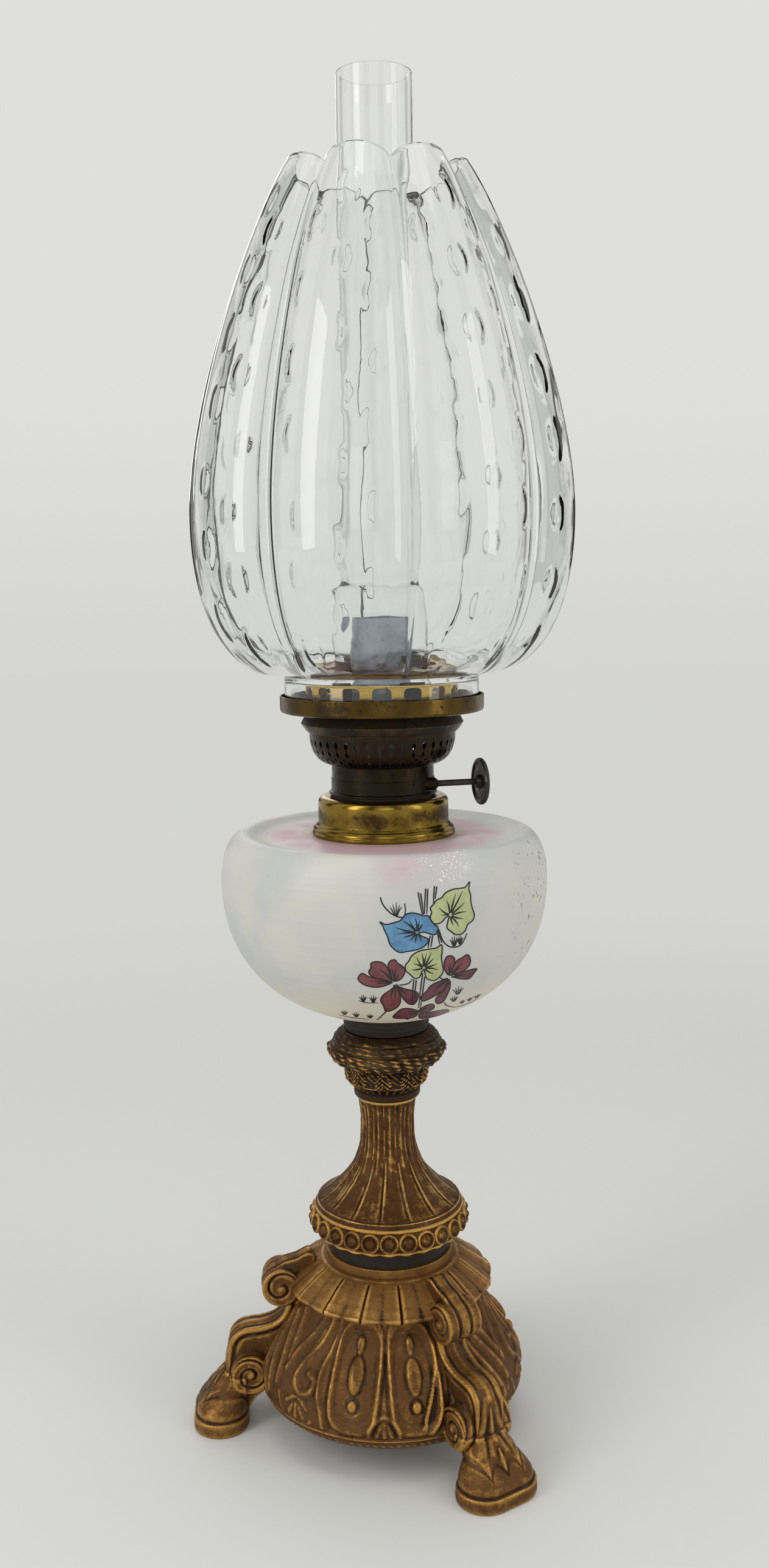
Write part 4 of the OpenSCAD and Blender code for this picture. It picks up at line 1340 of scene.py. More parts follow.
def smoothLine(points, parts=4, closed=False):
    line = np.array(points, float)
    if closed:
        ring = np.concatenate([line[-1:], line, line[:2]])
    else:
        ring = np.concatenate([2 * line[:1] - line[1:2], line, 2 * line[-1:] - line[-2:-1]])
    made = []
    for k in range(1, len(ring) - 2):
        a, b, c, d = ring[k - 1 : k + 3]
        for t in np.arange(parts) / parts:
            bend = (2 * a - 5 * b + 4 * c - d) * t * t + (3 * b - a - 3 * c + d) * t ** 3
            made.append(tuple(0.5 * (2 * b + (c - a) * t + bend)))
    if not closed:
        made.append(tuple(line[-1]))
    return made


fontLine = np.array(lifted([(22, 0)] + fontCurve(0)[:36], fontValues["seat"]))


def onFont(points, height):  # points in the front plane, laid on the font's outside
    x, z = np.array(points, float).T
    radius = np.interp(z, fontLine[:, 1], fontLine[:, 0])
    slope = (np.interp(z + 0.4, fontLine[:, 1], fontLine[:, 0]) - radius) / 0.4
    y = -np.sqrt(np.maximum(radius ** 2 - x ** 2, 1))
    facing = np.stack([x / radius, y / radius, -slope], axis=1)
    facing /= np.linalg.norm(facing, axis=1)[:, None]
    return np.stack([x, y, z], axis=1) + facing * height


def addFlake(store, points, faces, height):  # a closed thin flake of enamel
    top = onFont(points, height)
    under = onFont(points, -0.08)
    start = sum(len(block) for block in store["points"])
    store["points"] += [top, under]
    count = len(points)
    edges = set()
    for face in faces:
        edges |= set(zip(face, face[1:] + face[:1]))
        store["faces"].append([start + i for i in face])
        store["faces"].append([start + count + i for i in face[::-1]])
    for a, b in edges:
        if (b, a) not in edges:
            store["faces"].append([start + b, start + a, start + count + a, start + count + b])


def addShape(store, outline, height, grid=1.5):
    line = smoothLine(outline, 3, True)
    area = sum(a[0] * b[1] - b[0] * a[1] for a, b in zip(line, line[1:] + line[:1]))
    if area < 0:
        line = line[::-1]
    low = np.min(line, axis=0)
    high = np.max(line, axis=0)
    points = [Vector(p) for p in line]
    for x in np.arange(low[0] + grid / 2, high[0], grid):
        for z in np.arange(low[1] + grid / 2, high[1], grid):
            near = min(math.dist((x, z), p) for p in line)
            if near > grid * 0.45 and insideOutline((x, z), line):
                points.append(Vector((x, z)))
    count = len(line)
    edges = [(k, (k + 1) % count) for k in range(count)]
    found = delaunay_2d_cdt(points, edges, [], 1, 1e-5)
    flat = [(p.x, p.y) for p in found[0]]
    faces = []
    for face in found[2]:
        corners = list(face)
        turn = sum(
            flat[a][0] * flat[b][1] - flat[b][0] * flat[a][1] for a, b in zip(corners, corners[1:] + corners[:1])
        )
        faces.append(corners if turn > 0 else corners[::-1])
    addFlake(store, flat, faces, height)


def addStroke(store, points, widths, height, closed=False):
    line = np.array(smoothLine(points, 4, closed))
    if closed:
        line = np.concatenate([line, line[:1]])
    along = np.gradient(line, axis=0)
    along /= np.maximum(np.linalg.norm(along, axis=1), 1e-6)[:, None]
    left = np.stack([-along[:, 1], along[:, 0]], axis=1)
    half = np.interp(np.linspace(0, 1, len(line)), np.linspace(0, 1, len(widths)), widths)[:, None] / 2
    flat = np.concatenate([line - left * half, line + left * half]).tolist()
    count = len(line)
    faces = [[k, k + 1, count + k + 1, count + k] for k in range(count - 1)]
    addFlake(store, flat, faces, height)


transferValues = {
    "enamel": 0.06,
    "ink": 0.12,
    "outline": 0.62,
    "vein": 0.75,
    "shapes": {
        "leafGreen": [
            [(40.0, 308.2), (37.9, 306.0), (34.9, 305.7), (31.9, 305.6), (28.4, 304.3), (26.5, 302.2), (24.2, 301.3),
             (22.6, 299.3), (21.2, 297.8), (21.8, 295.7), (21.1, 293.0), (22.5, 290.5), (24.6, 290.0), (26.7, 290.9),
             (28.3, 292.6), (30.0, 293.1), (29.4, 290.6), (29.0, 287.7), (30.7, 285.8), (33.1, 283.8), (36.1, 283.8),
             (38.0, 285.7), (38.9, 288.1), (41.3, 289.7), (42.1, 292.3), (41.1, 295.7), (40.4, 299.1), (40.3, 302.3),
             (39.5, 305.0)],
            [(26.4, 279.5), (24.0, 278.1), (20.3, 277.8), (15.6, 277.0), (12.4, 274.9), (11.1, 272.4), (9.4, 270.1),
             (9.7, 267.1), (11.3, 265.4), (13.9, 262.7), (16.1, 263.5), (17.1, 266.2), (18.2, 267.3), (18.7, 264.5),
             (19.8, 261.9), (23.1, 260.7), (25.7, 262.5), (27.3, 265.4), (26.8, 269.2), (26.4, 272.9), (26.7, 276.3)],
        ],
        "leafBlue": [
            [(-2.3, 292.2), (0.5, 290.9), (4.2, 291.7), (7.3, 292.7), (9.6, 295.3), (12.6, 296.0), (15.7, 295.3),
             (17.8, 294.3), (20.1, 294.2), (21.4, 292.1), (23.0, 289.8), (24.6, 288.4), (24.4, 285.7), (22.5, 284.8),
             (20.3, 285.7), (17.7, 286.5), (15.8, 285.8), (17.5, 284.3), (20.0, 283.0), (19.6, 280.8), (17.2, 278.7),
             (14.0, 277.8), (10.3, 277.3), (6.6, 277.0), (3.5, 279.4), (2.0, 281.9), (1.2, 285.0), (-0.1, 288.0),
             (-0.9, 290.2)],
        ],
        "petalRed": [
            [(2.8, 261.7), (1.8, 266.7), (-0.3, 271.0), (-3.4, 272.4), (-6.6, 271.6), (-6.8, 269.0), (-7.9, 266.8),
             (-6.2, 264.3), (-3.0, 263.1), (0.7, 262.3)],
            [(2.5, 261.2), (-3.5, 263.2), (-7.8, 264.3), (-10.7, 266.1), (-12.5, 264.4), (-12.9, 262.7), (-11.2, 260.4),
             (-7.9, 258.8), (-3.6, 258.3), (0.6, 259.6)],
            [(3.4, 262.1), (2.3, 266.7), (1.3, 270.4), (2.4, 272.7), (4.5, 273.2), (5.8, 271.4), (8.1, 269.6),
             (9.2, 267.1), (8.1, 264.0), (6.0, 262.0)],
            [(4.9, 258.7), (2.2, 256.5), (-1.0, 253.8), (-2.5, 250.3), (-1.1, 246.4), (-0.1, 242.6), (2.7, 243.0),
             (5.4, 245.4), (7.0, 249.2), (6.5, 254.3)],
            [(29.8, 262.9), (27.9, 266.6), (27.8, 270.3), (28.9, 272.9), (31.0, 273.2), (32.7, 271.4), (32.5, 268.4),
             (31.5, 265.5)],
            [(31.7, 262.9), (31.9, 266.7), (33.8, 270.1), (36.5, 271.5), (39.0, 272.6), (40.4, 269.6), (39.9, 266.5),
             (37.7, 264.4), (34.5, 263.1)],
        ],
        "petalPurple": [
            [(5.7, 258.4), (9.2, 256.9), (12.9, 255.6), (15.4, 253.6), (15.1, 250.0), (13.5, 246.8), (10.8, 247.4),
             (8.1, 251.4), (6.8, 254.9)],
            [(32.6, 261.4), (36.1, 263.2), (40.0, 263.9), (43.7, 263.8), (42.3, 261.4), (40.1, 258.8), (36.8, 259.3)],
            [(29.6, 260.4), (25.2, 259.7), (21.5, 257.8), (19.4, 254.6), (16.7, 251.3), (17.6, 248.5), (20.5, 249.3),
             (24.3, 251.7), (28.1, 254.7), (29.9, 257.9)],
            [(30.5, 259.4), (28.2, 254.7), (25.2, 251.3), (23.9, 248.0), (25.1, 245.3), (27.8, 246.4), (29.8, 251.5),
             (30.8, 255.6)],
            [(15.6, 241.1), (11.4, 243.8), (7.0, 243.5), (3.3, 237.2), (8.2, 235.4), (13.7, 235.9)],
            [(16.0, 241.7), (18.5, 244.5), (21.0, 245.6), (23.0, 245.1), (23.3, 242.2), (20.5, 240.1), (17.5, 239.5)],
            [(16.7, 239.3), (22.5, 239.4), (29.3, 239.2), (30.9, 236.4), (26.3, 233.2), (20.6, 232.2), (16.6, 234.1)],
        ],
    },
    "veins": [
        ((30.5, 293.5), [(36.5, 304.3), (33.2, 303.6), (28.9, 300.9), (25.4, 297.5), (26.2, 293.9), (37.5, 298.9),
                         (38.2, 294.5), (36.9, 291.2), (34.8, 287.3), (32.1, 288.5)]),
        ((15.1, 286.4), [(8.1, 292.7), (11.5, 292.5), (14.1, 293.5), (16.2, 292.3), (17.5, 290.6), (5.0, 289.3),
                         (5.8, 286.2), (8.3, 284.4), (11.4, 282.4), (14.0, 281.2), (16.8, 281.9)]),
        ((18.0, 268.1), [(17.1, 276.1), (19.3, 275.6), (21.6, 276.0), (14.7, 273.9), (13.2, 270.8), (12.4, 267.5),
                         (22.8, 272.9), (24.3, 269.9), (24.7, 266.6), (22.8, 264.4)]),
        ((4.4, 260.8), [(-2.9, 268.6), (-0.8, 267.4), (-7.8, 262.0), (-4.6, 260.8), (2.9, 268.5), (5.0, 268.5),
                        (6.2, 266.0), (2.2, 250.9), (4.3, 250.8), (10.2, 253.4)]),
        ((30.6, 261.4), [(29.5, 268.3), (30.8, 268.7), (34.9, 268.0), (36.5, 268.4), (38.4, 261.6), (36.2, 261.4),
                         (24.2, 256.0), (22.6, 254.2), (27.0, 252.0), (28.1, 253.3)]),
        ((15.8, 240.8), [(10.3, 241.0), (11.4, 238.1), (19.6, 242.9), (23.2, 237.2), (18.7, 236.6)]),
    ],
    "stems": [
        [(15.6, 305.5), (16.4, 300.8), (17.4, 294.9)], [(16.8, 304.9), (17.4, 300.2), (18.0, 294.9)],
        [(19.1, 306.9), (18.7, 300.7), (18.4, 295.2)], [(20.1, 306.8), (19.8, 300.6), (19.5, 295.1)],
        [(23.3, 307.8), (22.9, 304.0), (22.7, 299.9)], [(24.3, 307.5), (23.9, 304.5), (23.5, 301.9)],
        [(21.1, 284.5), (20.4, 281.0), (20.0, 278.5)], [(22.2, 284.4), (21.7, 280.8), (21.3, 278.8)],
        [(24.1, 286.8), (24.9, 283.4), (25.5, 279.9)], [(24.9, 287.3), (25.5, 284.1), (26.6, 280.4)],
        [(17.5, 265.3), (16.6, 256.9), (15.7, 243.5)], [(18.5, 263.3), (17.7, 255.5), (16.6, 243.4)],
        [(13.4, 262.2), (12.9, 257.3), (12.4, 246.4)], [(14.5, 261.7), (14.0, 256.5), (13.5, 247.9)],
        [(25.1, 287.2), (27.0, 281.5), (29.9, 278.2), (33.2, 277.5), (36.1, 278.7), (38.6, 283.6)],
        [(-1.9, 303.7), (-0.7, 300.3), (2.1, 296.9), (5.4, 294.7), (8.6, 294.2), (9.6, 296.9), (9.3, 300.6)],
        [(6.5, 259.3), (9.4, 259.6), (11.3, 260.5), (12.7, 262.5)], [(25.4, 262.3), (27.4, 260.7), (29.4, 261.2)],
        [(-0.1, 242.2), (-2.9, 237.4), (-4.6, 234.6)], [(28.4, 245.4), (29.6, 242.8), (33.8, 239.7)],
    ],
    "tufts": [  # foot of each tuft of grass, half width and height
        (5.2, 294.9, 3.0, 6.5), (32.4, 278.0, 2.2, 5.6), (35.2, 278.6, 1.6, 4.8), (-10.8, 249.0, 1.9, 5.0),
        (-6.0, 248.8, 1.9, 5.0), (34.8, 249.8, 2.8, 5.6), (33.0, 245.0, 2.2, 4.4), (37.4, 241.6, 1.4, 3.2),
        (41.2, 242.0, 1.6, 3.6), (45.0, 243.0, 2.2, 3.4), (-20.3, 237.9, 1.8, 4.4), (-14.6, 236.7, 1.8, 4.8),
        (-7.8, 236.4, 1.8, 4.0), (10.5, 234.0, 1.4, 2.6),
    ],
    "ground": [
        [(-13.0, 249.8), (-9.2, 248.5), (-3.6, 248.6)], [(29.0, 243.5), (34.4, 239.6), (41.2, 239.7), (46.0, 242.2)],
        [(-23.0, 237.4), (-16.0, 235.8), (-8.4, 235.2)],
    ],
}


def makeEnamel(name, tone, dark):
    material, tree, out = freshMaterial(name)
    place = shader(tree, "TexCoord").outputs["Object"]
    cloud = noise(tree, place, 150, 3, 0.6)
    grain = noise(tree, place, 1400, 2, 0.5)
    mixed = maths(tree, "ADD", cloud, maths(tree, "MULTIPLY", maths(tree, "SUBTRACT", grain, 0.5), 0.4))
    inputs = {
        "Base Color": blendColours(tree, spread(tree, mixed, 0.36, 0.66), tone, dark),
        "Roughness": spread(tree, grain, 0.2, 0.8, 0.30, 0.50, False),
        "Metallic": 0.0,
        "Normal": bumped(tree, grain, 0.02 * mm),
    }
    face = shader(tree, "BsdfPrincipled", inputs)
    tree.links.new(face.outputs[0], out.inputs[0])
    return material


enamels = {
    "leafGreen": makeEnamel("enamelGreen", rgb(188, 194, 146), rgb(168, 176, 122)),
    "leafBlue": makeEnamel("enamelBlue", rgb(104, 152, 190), rgb(80, 126, 164)),
    "petalRed": makeEnamel("enamelRed", rgb(124, 68, 68), rgb(100, 50, 54)),
    "petalPurple": makeEnamel("enamelPurple", rgb(112, 58, 72), rgb(84, 40, 54)),
    "ink": makeEnamel("enamelInk", rgb(30, 28, 30), rgb(16, 15, 17)),
}


def makeTransfer(values):  # traditional flower transfer, front of the font
    ink = {"points": [], "faces": []}
    for colour, outlines in values["shapes"].items():
        store = {"points": [], "faces": []}
        for outline in outlines:
            addShape(store, outline, values["enamel"])
            addStroke(ink, outline, [values["outline"]], values["ink"], True)
        points = (np.concatenate(store["points"]) * mm).tolist()
        piece = meshPiece("transfer_" + colour, points, store["faces"], 60)
        dress(piece, enamels[colour], "glass_font", False)
    for centre, ends in values["veins"]:
        for k, end in enumerate(ends):
            near = Vector(centre).lerp(Vector(end), 0.12)
            middle = Vector(centre).lerp(Vector(end), 0.55) + Vector((0.25, 0.3)) * (-1) ** k
            addStroke(ink, [tuple(near), tuple(middle), end], [values["vein"], values["vein"], 0.16], values["ink"])
    for line in values["stems"]:
        addStroke(ink, line, [values["outline"], values["outline"], 0.45], values["ink"])
    for line in values["ground"]:
        addStroke(ink, line, [0.2, 0.45, 0.2], values["ink"])
    for x, z, wide, high in values["tufts"]:
        for lean in (-1, -0.45, 0.1, 0.6, 1):
            tip = (x + lean * wide, z + high * (1 - 0.35 * abs(lean)))
            bend = (x + 0.62 * lean * wide, z + 0.45 * high)
            addStroke(ink, [(x + 0.2 * lean * wide, z), bend, tip], [0.4, 0.5, 0.16], values["ink"])
    points = (np.concatenate(ink["points"]) * mm).tolist()
    piece = meshPiece("transfer_ink", points, ink["faces"], 60)
    dress(piece, enamels["ink"], "glass_font", False)


makeTransfer(transferValues)
print("transfer made")


def makeCrumbTree():  # scatters grains of random size on a surface
    tree = bpy.data.node_groups.new("crumbs", "GeometryNodeTree")
    face = tree.interface
    face.new_socket(name="Geometry", in_out="INPUT", socket_type="NodeSocketGeometry")
    face.new_socket(name="Density", in_out="INPUT", socket_type="NodeSocketFloat")
    face.new_socket(name="Grain", in_out="INPUT", socket_type="NodeSocketFloat")
    face.new_socket(name="Seed", in_out="INPUT", socket_type="NodeSocketInt")
    face.new_socket(name="Material", in_out="INPUT", socket_type="NodeSocketMaterial")
    face.new_socket(name="Geometry", in_out="OUTPUT", socket_type="NodeSocketGeometry")
    start = put(tree, "NodeGroupInput").outputs
    end = put(tree, "NodeGroupOutput").inputs
    inputs = {"Mesh": start["Geometry"], "Density": start["Density"], "Seed": start["Seed"]}
    points = put(tree, "GeometryNodeDistributePointsOnFaces", inputs).outputs[0]
    grain = put(tree, "GeometryNodeMeshIcoSphere", {"Radius": start["Grain"], "Subdivisions": 1}).outputs[0]
    size = put(tree, "FunctionNodeRandomValue", {2: 0.4, 3: 1.3, 8: start["Seed"]}, data_type="FLOAT").outputs[1]
    stretch = shader(tree, "CombineXYZ", {0: size, 1: size, 2: maths(tree, "MULTIPLY", size, 0.6)}).outputs[0]
    inputs = {"Points": points, "Instance": grain, "Scale": stretch}
    placed = put(tree, "GeometryNodeInstanceOnPoints", inputs).outputs[0]
    solid = put(tree, "GeometryNodeRealizeInstances", {"Geometry": placed}).outputs[0]
    done = put(tree, "GeometryNodeSetMaterial", {"Geometry": solid, "Material": start["Material"]}).outputs[0]
    tree.links.new(done, end[0])
    return tree


crumbValues = {"inner": 36.7, "outer": 38.4, "height": 319.55, "density": 1900000.0, "grain": 0.34, "seed": 7}
rustCrumb = makeFelt("rustCrumb", rgb(132, 62, 38), rgb(96, 40, 24), 300)


def crumbBed(name, values, span):
    low, high = values["inner"], values["outer"]
    z = values["height"]
    line = [(low, z), (high, z), (high, z - 0.1), (low, z - 0.1)]
    return turned(name, line, 90, None, span)


def makeCrumbs(values):
    tree = makeCrumbTree()
    grain = values["grain"] * mm
    inputs = {"Density": values["density"], "Grain": grain, "Seed": values["seed"], "Material": plasterWhite}
    piece = grown(crumbBed("bed", values, (-180, 180)), tree, inputs, "plaster_crumbs")
    dress(piece, plasterWhite, "collar_plaster", False)
    wider = dict(values, outer=42.5)
    inputs = dict(inputs, Grain=grain * 1.1, Seed=values["seed"] + 4, Material=rustCrumb)
    piece = grown(crumbBed("bed", wider, (50, 78)), tree, inputs, "rust_crumbs")
    dress(piece, rustCrumb, "collar_plaster", False)


makeCrumbs(crumbValues)
print("crumbs made")

stemValues = {
    "socket": 216.2,
    "capital": 179.5,
    "column": 103.9,
    "beads": 30,
    "leaves": 10,
    "lobes": 12,
    "flutes": 15,
    "firstFlute": -7.7,
    "coins": 26,
}


def capitalRelief(alpha, r, z, out):
    s = z - stemValues["capital"]
    across = np.radians(alpha)
    beads = window(s, 4.9, 8.1, 0.8) * (0.75 * np.maximum(np.cos(across * stemValues["beads"]), -0.5) - 0.25)
    line = 0.4 * hump(s, 8.8, 0.35) + 0.35 * hump(s, 18.0, 0.4)
    pitch = 360 / stemValues["leaves"]
    sway = nearest(alpha + 6, 0, pitch) * np.pi / 180 * r
    half = 4.6 * np.sqrt(np.clip(1 - ((s - 12.4) / 5.4) ** 2, 0, 1)) * (1 + 0.16 * np.cos(s * 3.4))
    leaf = np.clip((half - np.abs(sway)) / 0.9, 0, 1)
    veins = 0.4 * hump(sway, 0, 0.45) + 0.3 * leaf * np.cos((np.abs(sway) + 0.9 * s) * 3.3)
    band = window(s, 9.3, 17.6, 0.8) * (1.0 * leaf + veins - 0.55 + 0.25 * np.sin(across * 37 + s * 2.1))
    lobe = np.abs(np.cos(across * stemValues["lobes"] / 2)) ** 0.55
    rough = np.sin(across * 23 + s * 1.7) * np.sin(across * 9 - s * 1.1 + 2)
    cup = window(s, 18.8, 27.6, 1.6) * (1.7 * lobe - 1.1 + 0.6 * rough) - 0.7 * hump(s, 28.6, 0.7)
    slope = window(s, 29.5, 36.5, 1) * (0.16 * rough - 0.5 * hump(s, 33.0, 0.5))
    return (beads + line + band + cup + slope) * (out > -0.98) * (r > 12.8)


def columnRelief(alpha, r, z, out):
    s = z - stemValues["column"]
    pitch = 360 / stemValues["flutes"]
    off = nearest(alpha, stemValues["firstFlute"], pitch) * np.pi / 180 * r
    half = pitch / 2 * np.pi / 180 * r
    number = np.round((alpha - stemValues["firstFlute"]) / pitch)
    neck = window(s, 34, 78, 14) * window(s, 20, 73.5, 3)
    flare = window(s, 20.3, 44, 9)
    hollow = 1 - (off / half) ** 2
    uneven = 0.75 + 0.25 * np.sin(s * 0.33 + number * 2.3)
    push = neck * (-0.95 * hollow + 0.55 * uneven * hump(off, 0, 0.42) - 0.35 * hump(off, half * 0.5, 0.4) * uneven)
    push += flare * (-0.6 * hump(off, 0, 0.45) + 0.35 * uneven * hump(off, 1.3, 0.7) + 0.35 * hollow)
    push += 0.7 * hump(s, 18.3, 0.45) - 0.35 * hump(s, 16.9, 0.5)
    push += 0.3 * hump(s, 2.2, 1.5) * np.cos(np.radians(alpha) * stemValues["coins"])
    push -= 1.7 * window(s, 3.4, 15.4, 1.4)  # the bed that the coins lie in
    rough = np.sin(np.radians(alpha) * 17 + s * 0.9) * np.sin(np.radians(alpha) * 7 - s * 0.5)
    push += 0.08 * rough * window(s, 20, 75, 2)
    return push * (out > 0)


def makeStem(values):
    socket = [(3.15, 0), (21.7, 0), (22.3, 3.29), (22, 9.4), (20.8, 9.4), (20.8, 2.2), (3.15, 2.2)]

    def rings(alpha, r, z, out):
        s = z - values["socket"]
        return (0.25 * hump(s, 3.3, 0.5) + 0.15 * np.sin(s * 5) * window(s, 4.5, 9, 1)) * (out > 0.5)

    spun("dark_socket_ring", socket, values["socket"], blackMetal, "font_socket", 160, 0.3, rings, 0.5)
    capital = [(13, 0), (15.5, 0), (17.1, 0.4), (17.5, 1.6), (17.5, 3.8), (16.5, 4.8)]
    capital += bezier((16.5, 4.8), (16.9, 6.6), (19.4, 6.8), (20.5, 8.2), 3)
    capital += bezier((20.5, 8.2), (21.7, 11), (22.3, 15), (21.4, 18.2), 5)
    capital += bezier((23, 18.4), (28.4, 19.7), (33.1, 25.2), (29.7, 28.4), 8) + [(28.3, 30.3)]
    capital += bezier((28.3, 30.3), (27.9, 33.5), (24.9, 35.1), (22.3, 36.7), 5)
    inside = [(3.15, 36.7), (3.15, 33.2), (18.3, 33.2), (17, 12)]
    outer = denser(softened(lifted(capital, values["capital"]), 0.4), 0.5, False)
    line = outer + denser(lifted(inside, values["capital"]), 4, False)
    piece = turned("ornate_capital", line, 300, capitalRelief)
    markRidges(piece, 4)
    dress(piece, capitalMetal, "capital_cup")

    def curve(k):
        points = bezier((34 - k, 0), (40 - k, 1), (42.4 - k, 6.8), (42 - k, 11.7), 6)
        points += bezier((42 - k, 11.7), (41.4 - k, 14.6), (38.5 - k, 17.55), (36.4 - k, 19.5), 5)
        points += bezier((36.4 - k, 19.5), (30 - k, 22.5), (17.5 - k, 33.5), (14.9 - k, 50), 14)
        points += bezier((14.9 - k, 50), (14.4 - k, 55), (14.4 - k, 60), (14.4 - k, 64.6), 6)
        return points

    outer = [(27.9, 0), (34, 0)] + curve(0) + [(15.6, 75.6)]
    inside = [(3.15, 75.6), (3.15, 72.6), (11.9, 72.6)] + curve(2.5)[::-1][::2] + [(31.5, 3), (27.9, 3)]
    line = denser(lifted(outer, values["column"]), 0.7, False)
    line += denser(lifted(inside, values["column"]), 5, False)
    piece = turned("fluted_column_casting", line, 300, columnRelief)
    markRidges(piece, 4)
    dress(piece, columnMetal, "fluted_column")
    face = [
        (0, -1.8), (4.8, -1.8), (4.95, 0.3), (4.7, 1.0), (4.1, 1.3), (3.5, 1.1), (3.1, 0.5), (2.8, 0.2), (2.5, 0.3),
        (2.2, 0.9), (1.8, 1.8), (1.0, 2.4), (0, 2.6),
    ]
    coin = turned("coin", denser(softened(face, 0.2, 2), 0.8, False), 28)
    lean = Matrix.Rotation(math.radians(80), 4, "X")
    coin.data.transform(Matrix.Translation((0, -40.5 * mm, 113.7 * mm)) @ lean)
    piece = ringOf(coin, values["coins"], columnMetal, "coin_band", 0.0)
    markRidges(piece, 3)
    dress(piece, columnMetal, "fluted_column", False)
    collar = [(27.9, 0), (31.9, 0), (31.9, 8), (27.9, 8)]
    spun("black_base_collar", collar, 95.9, blackMetal, "base_collar", 192, 0.3, None, 1.0)


makeStem(stemValues)
print("stem made")

baseValues = {
    "legs": (34, 154, -86),
    "petals": 16,
    "firstEdge": -16,
    "fine": 0.6,
    "ovals": (-23, -51),
    "ovalWide": 12.2,
    "ovalHigh": 23.0,
    "ovalMiddle": 50.8,
    "strokes": [  # degrees from the leg on the right and height, then half width and height of the ridge
        ([(-64, 76), (-66, 64), (-69, 52), (-68, 42), (-65, 34), (-64, 27)], 0.8, 0.9),
        ([(-70, 74), (-74, 62), (-80, 52), (-82, 44), (-77, 39), (-72, 41), (-71, 46), (-75, 48)], 1.0, 1.3),
        ([(-76, 74), (-82, 64), (-88, 54), (-90, 46)], 0.9, 1.0),
        ([(-74, 66), (-77, 58), (-78, 52)], 1.4, 1.1),
        ([(-84, 33), (-78, 37), (-72, 33)], 0.7, 0.9),
        ([(-78, 27), (-78, 33)], 0.9, 0.9),
        ([(-82, 28), (-80, 32)], 0.8, 0.8),
        ([(-74, 28), (-76, 32)], 0.8, 0.8),
        ([(-70, 27), (-73, 24.5), (-84, 24.5), (-88, 28), (-90, 34)], 0.6, 0.7),
        ([(-43.5, 26), (-42, 32), (-37, 36.5), (-32, 32), (-30.5, 26)], 0.7, 0.9),
        ([(-40, 27.5), (-38.6, 31.5)], 0.8, 0.8),
        ([(-37, 27), (-37, 33)], 0.9, 0.9),
        ([(-34, 27.5), (-35.4, 31.5)], 0.8, 0.8),
        ([(-42, 76), (-38.4, 70), (-37, 63), (-35.6, 70), (-32, 76)], 0.7, 0.9),
        ([(-37, 74), (-37, 68)], 1.1, 1.0),
        ([(-6, 72), (-8, 60), (-11, 48), (-12, 38), (-9, 30), (-6, 26)], 1.2, 1.6),
        ([(-8, 66), (-12, 54), (-16, 44), (-19, 36), (-20, 31)], 1.1, 1.5),
        ([(-7, 58), (-10, 44), (-14, 34), (-17, 28)], 1.1, 1.4),
        ([(-5, 44), (-8, 34), (-12, 26)], 1.1, 1.3),
        ([(-114, 72), (-112, 60), (-109, 48), (-108, 38), (-111, 30)], 1.2, 1.6),
        ([(-112, 66), (-107, 54), (-102, 44), (-99, 36), (-98, 31)], 1.1, 1.5),
        ([(-113, 58), (-109, 44), (-104, 34), (-101, 28)], 1.1, 1.4),
        ([(-106, 66), (-100, 56), (-95, 46), (-93, 38)], 1.1, 1.3),
        ([(-98, 70), (-94, 58), (-91, 50)], 1.0, 1.1),
    ],
}


def strokeDistance(beta, r, z, line):  # mm from each point of the wall to a line drawn on it
    path = np.array(smoothLine(line, 4))
    best = np.full(beta.shape, 1e9)
    reach = np.pi / 180 * r
    for start, end in zip(path[:-1], path[1:]):
        ax = (start[0] - beta) * reach
        az = start[1] - z
        bx = (end[0] - start[0]) * reach
        bz = end[1] - start[1]
        t = np.clip(-(ax * bx + az * bz) / np.maximum(bx * bx + bz * bz, 1e-9), 0, 1)
        best = np.minimum(best, np.hypot(ax + bx * t, az + bz * t))
    return best


def apronRelief(alpha, r, z, out):
    beta = alpha
    push = np.zeros(np.broadcast(beta, r).shape)
    inside = np.zeros_like(push)
    middle = baseValues["ovalMiddle"]
    for centre in baseValues["ovals"]:
        u = (beta - centre) * np.pi / 180 * r
        v = z - middle
        half = baseValues["ovalWide"] - 0.055 * v
        e = (np.abs(u / half) ** 3.2 + np.abs(v / baseValues["ovalHigh"]) ** 3.2) ** (1 / 3.2)
        gap = (e - 1) * half
        edge = 1.2 * hump(gap, 0, 1.0) - 0.4 * hump(gap, 2.2, 0.8)
        inner = np.clip(-(gap + 1.3) / 1.2, 0, 1)
        inside = np.maximum(inside, inner)
        deep = -1.0 * inner
        for height, wide, high, tall in ((13.6, 2.1, 4.0, 2.0), (1.6, 3.9, 7.4, 2.6), (-10.8, 2.5, 2.7, 2.2)):
            d = np.hypot(u / wide, (v - height) / high)
            deep = np.maximum(deep, -1.0 + tall * np.sqrt(np.clip(1.15 - d * d, 0, 1)))
            deep = deep - 0.5 * hump(d, 1.35, 0.22) * (inner > 0)
        push += edge + deep
    lines = np.zeros_like(push)
    for line, width, height in baseValues["strokes"]:
        lines = np.maximum(lines, 1.1 * height * hump(strokeDistance(beta, r, z, line), 0, 1.85 * width))
    push = np.where(inside > 0.3, push + lines * (lines > 1.25), push + lines - 0.25)
    low = window(z, 18.2, 25.5, 0.8)
    rope = 0.55 + 0.45 * np.cos(np.radians(beta) * 108 + z * 1.6)
    push = push * window(z, 25.5, 90, 1.6) + low * (0.8 * hump(z, 24.0, 0.7) + 0.7 * hump(z, 20.6, 1.0) * rope - 0.2)
    return push * (out > -0.2) * window(z, 17.2, 80, 0.8)


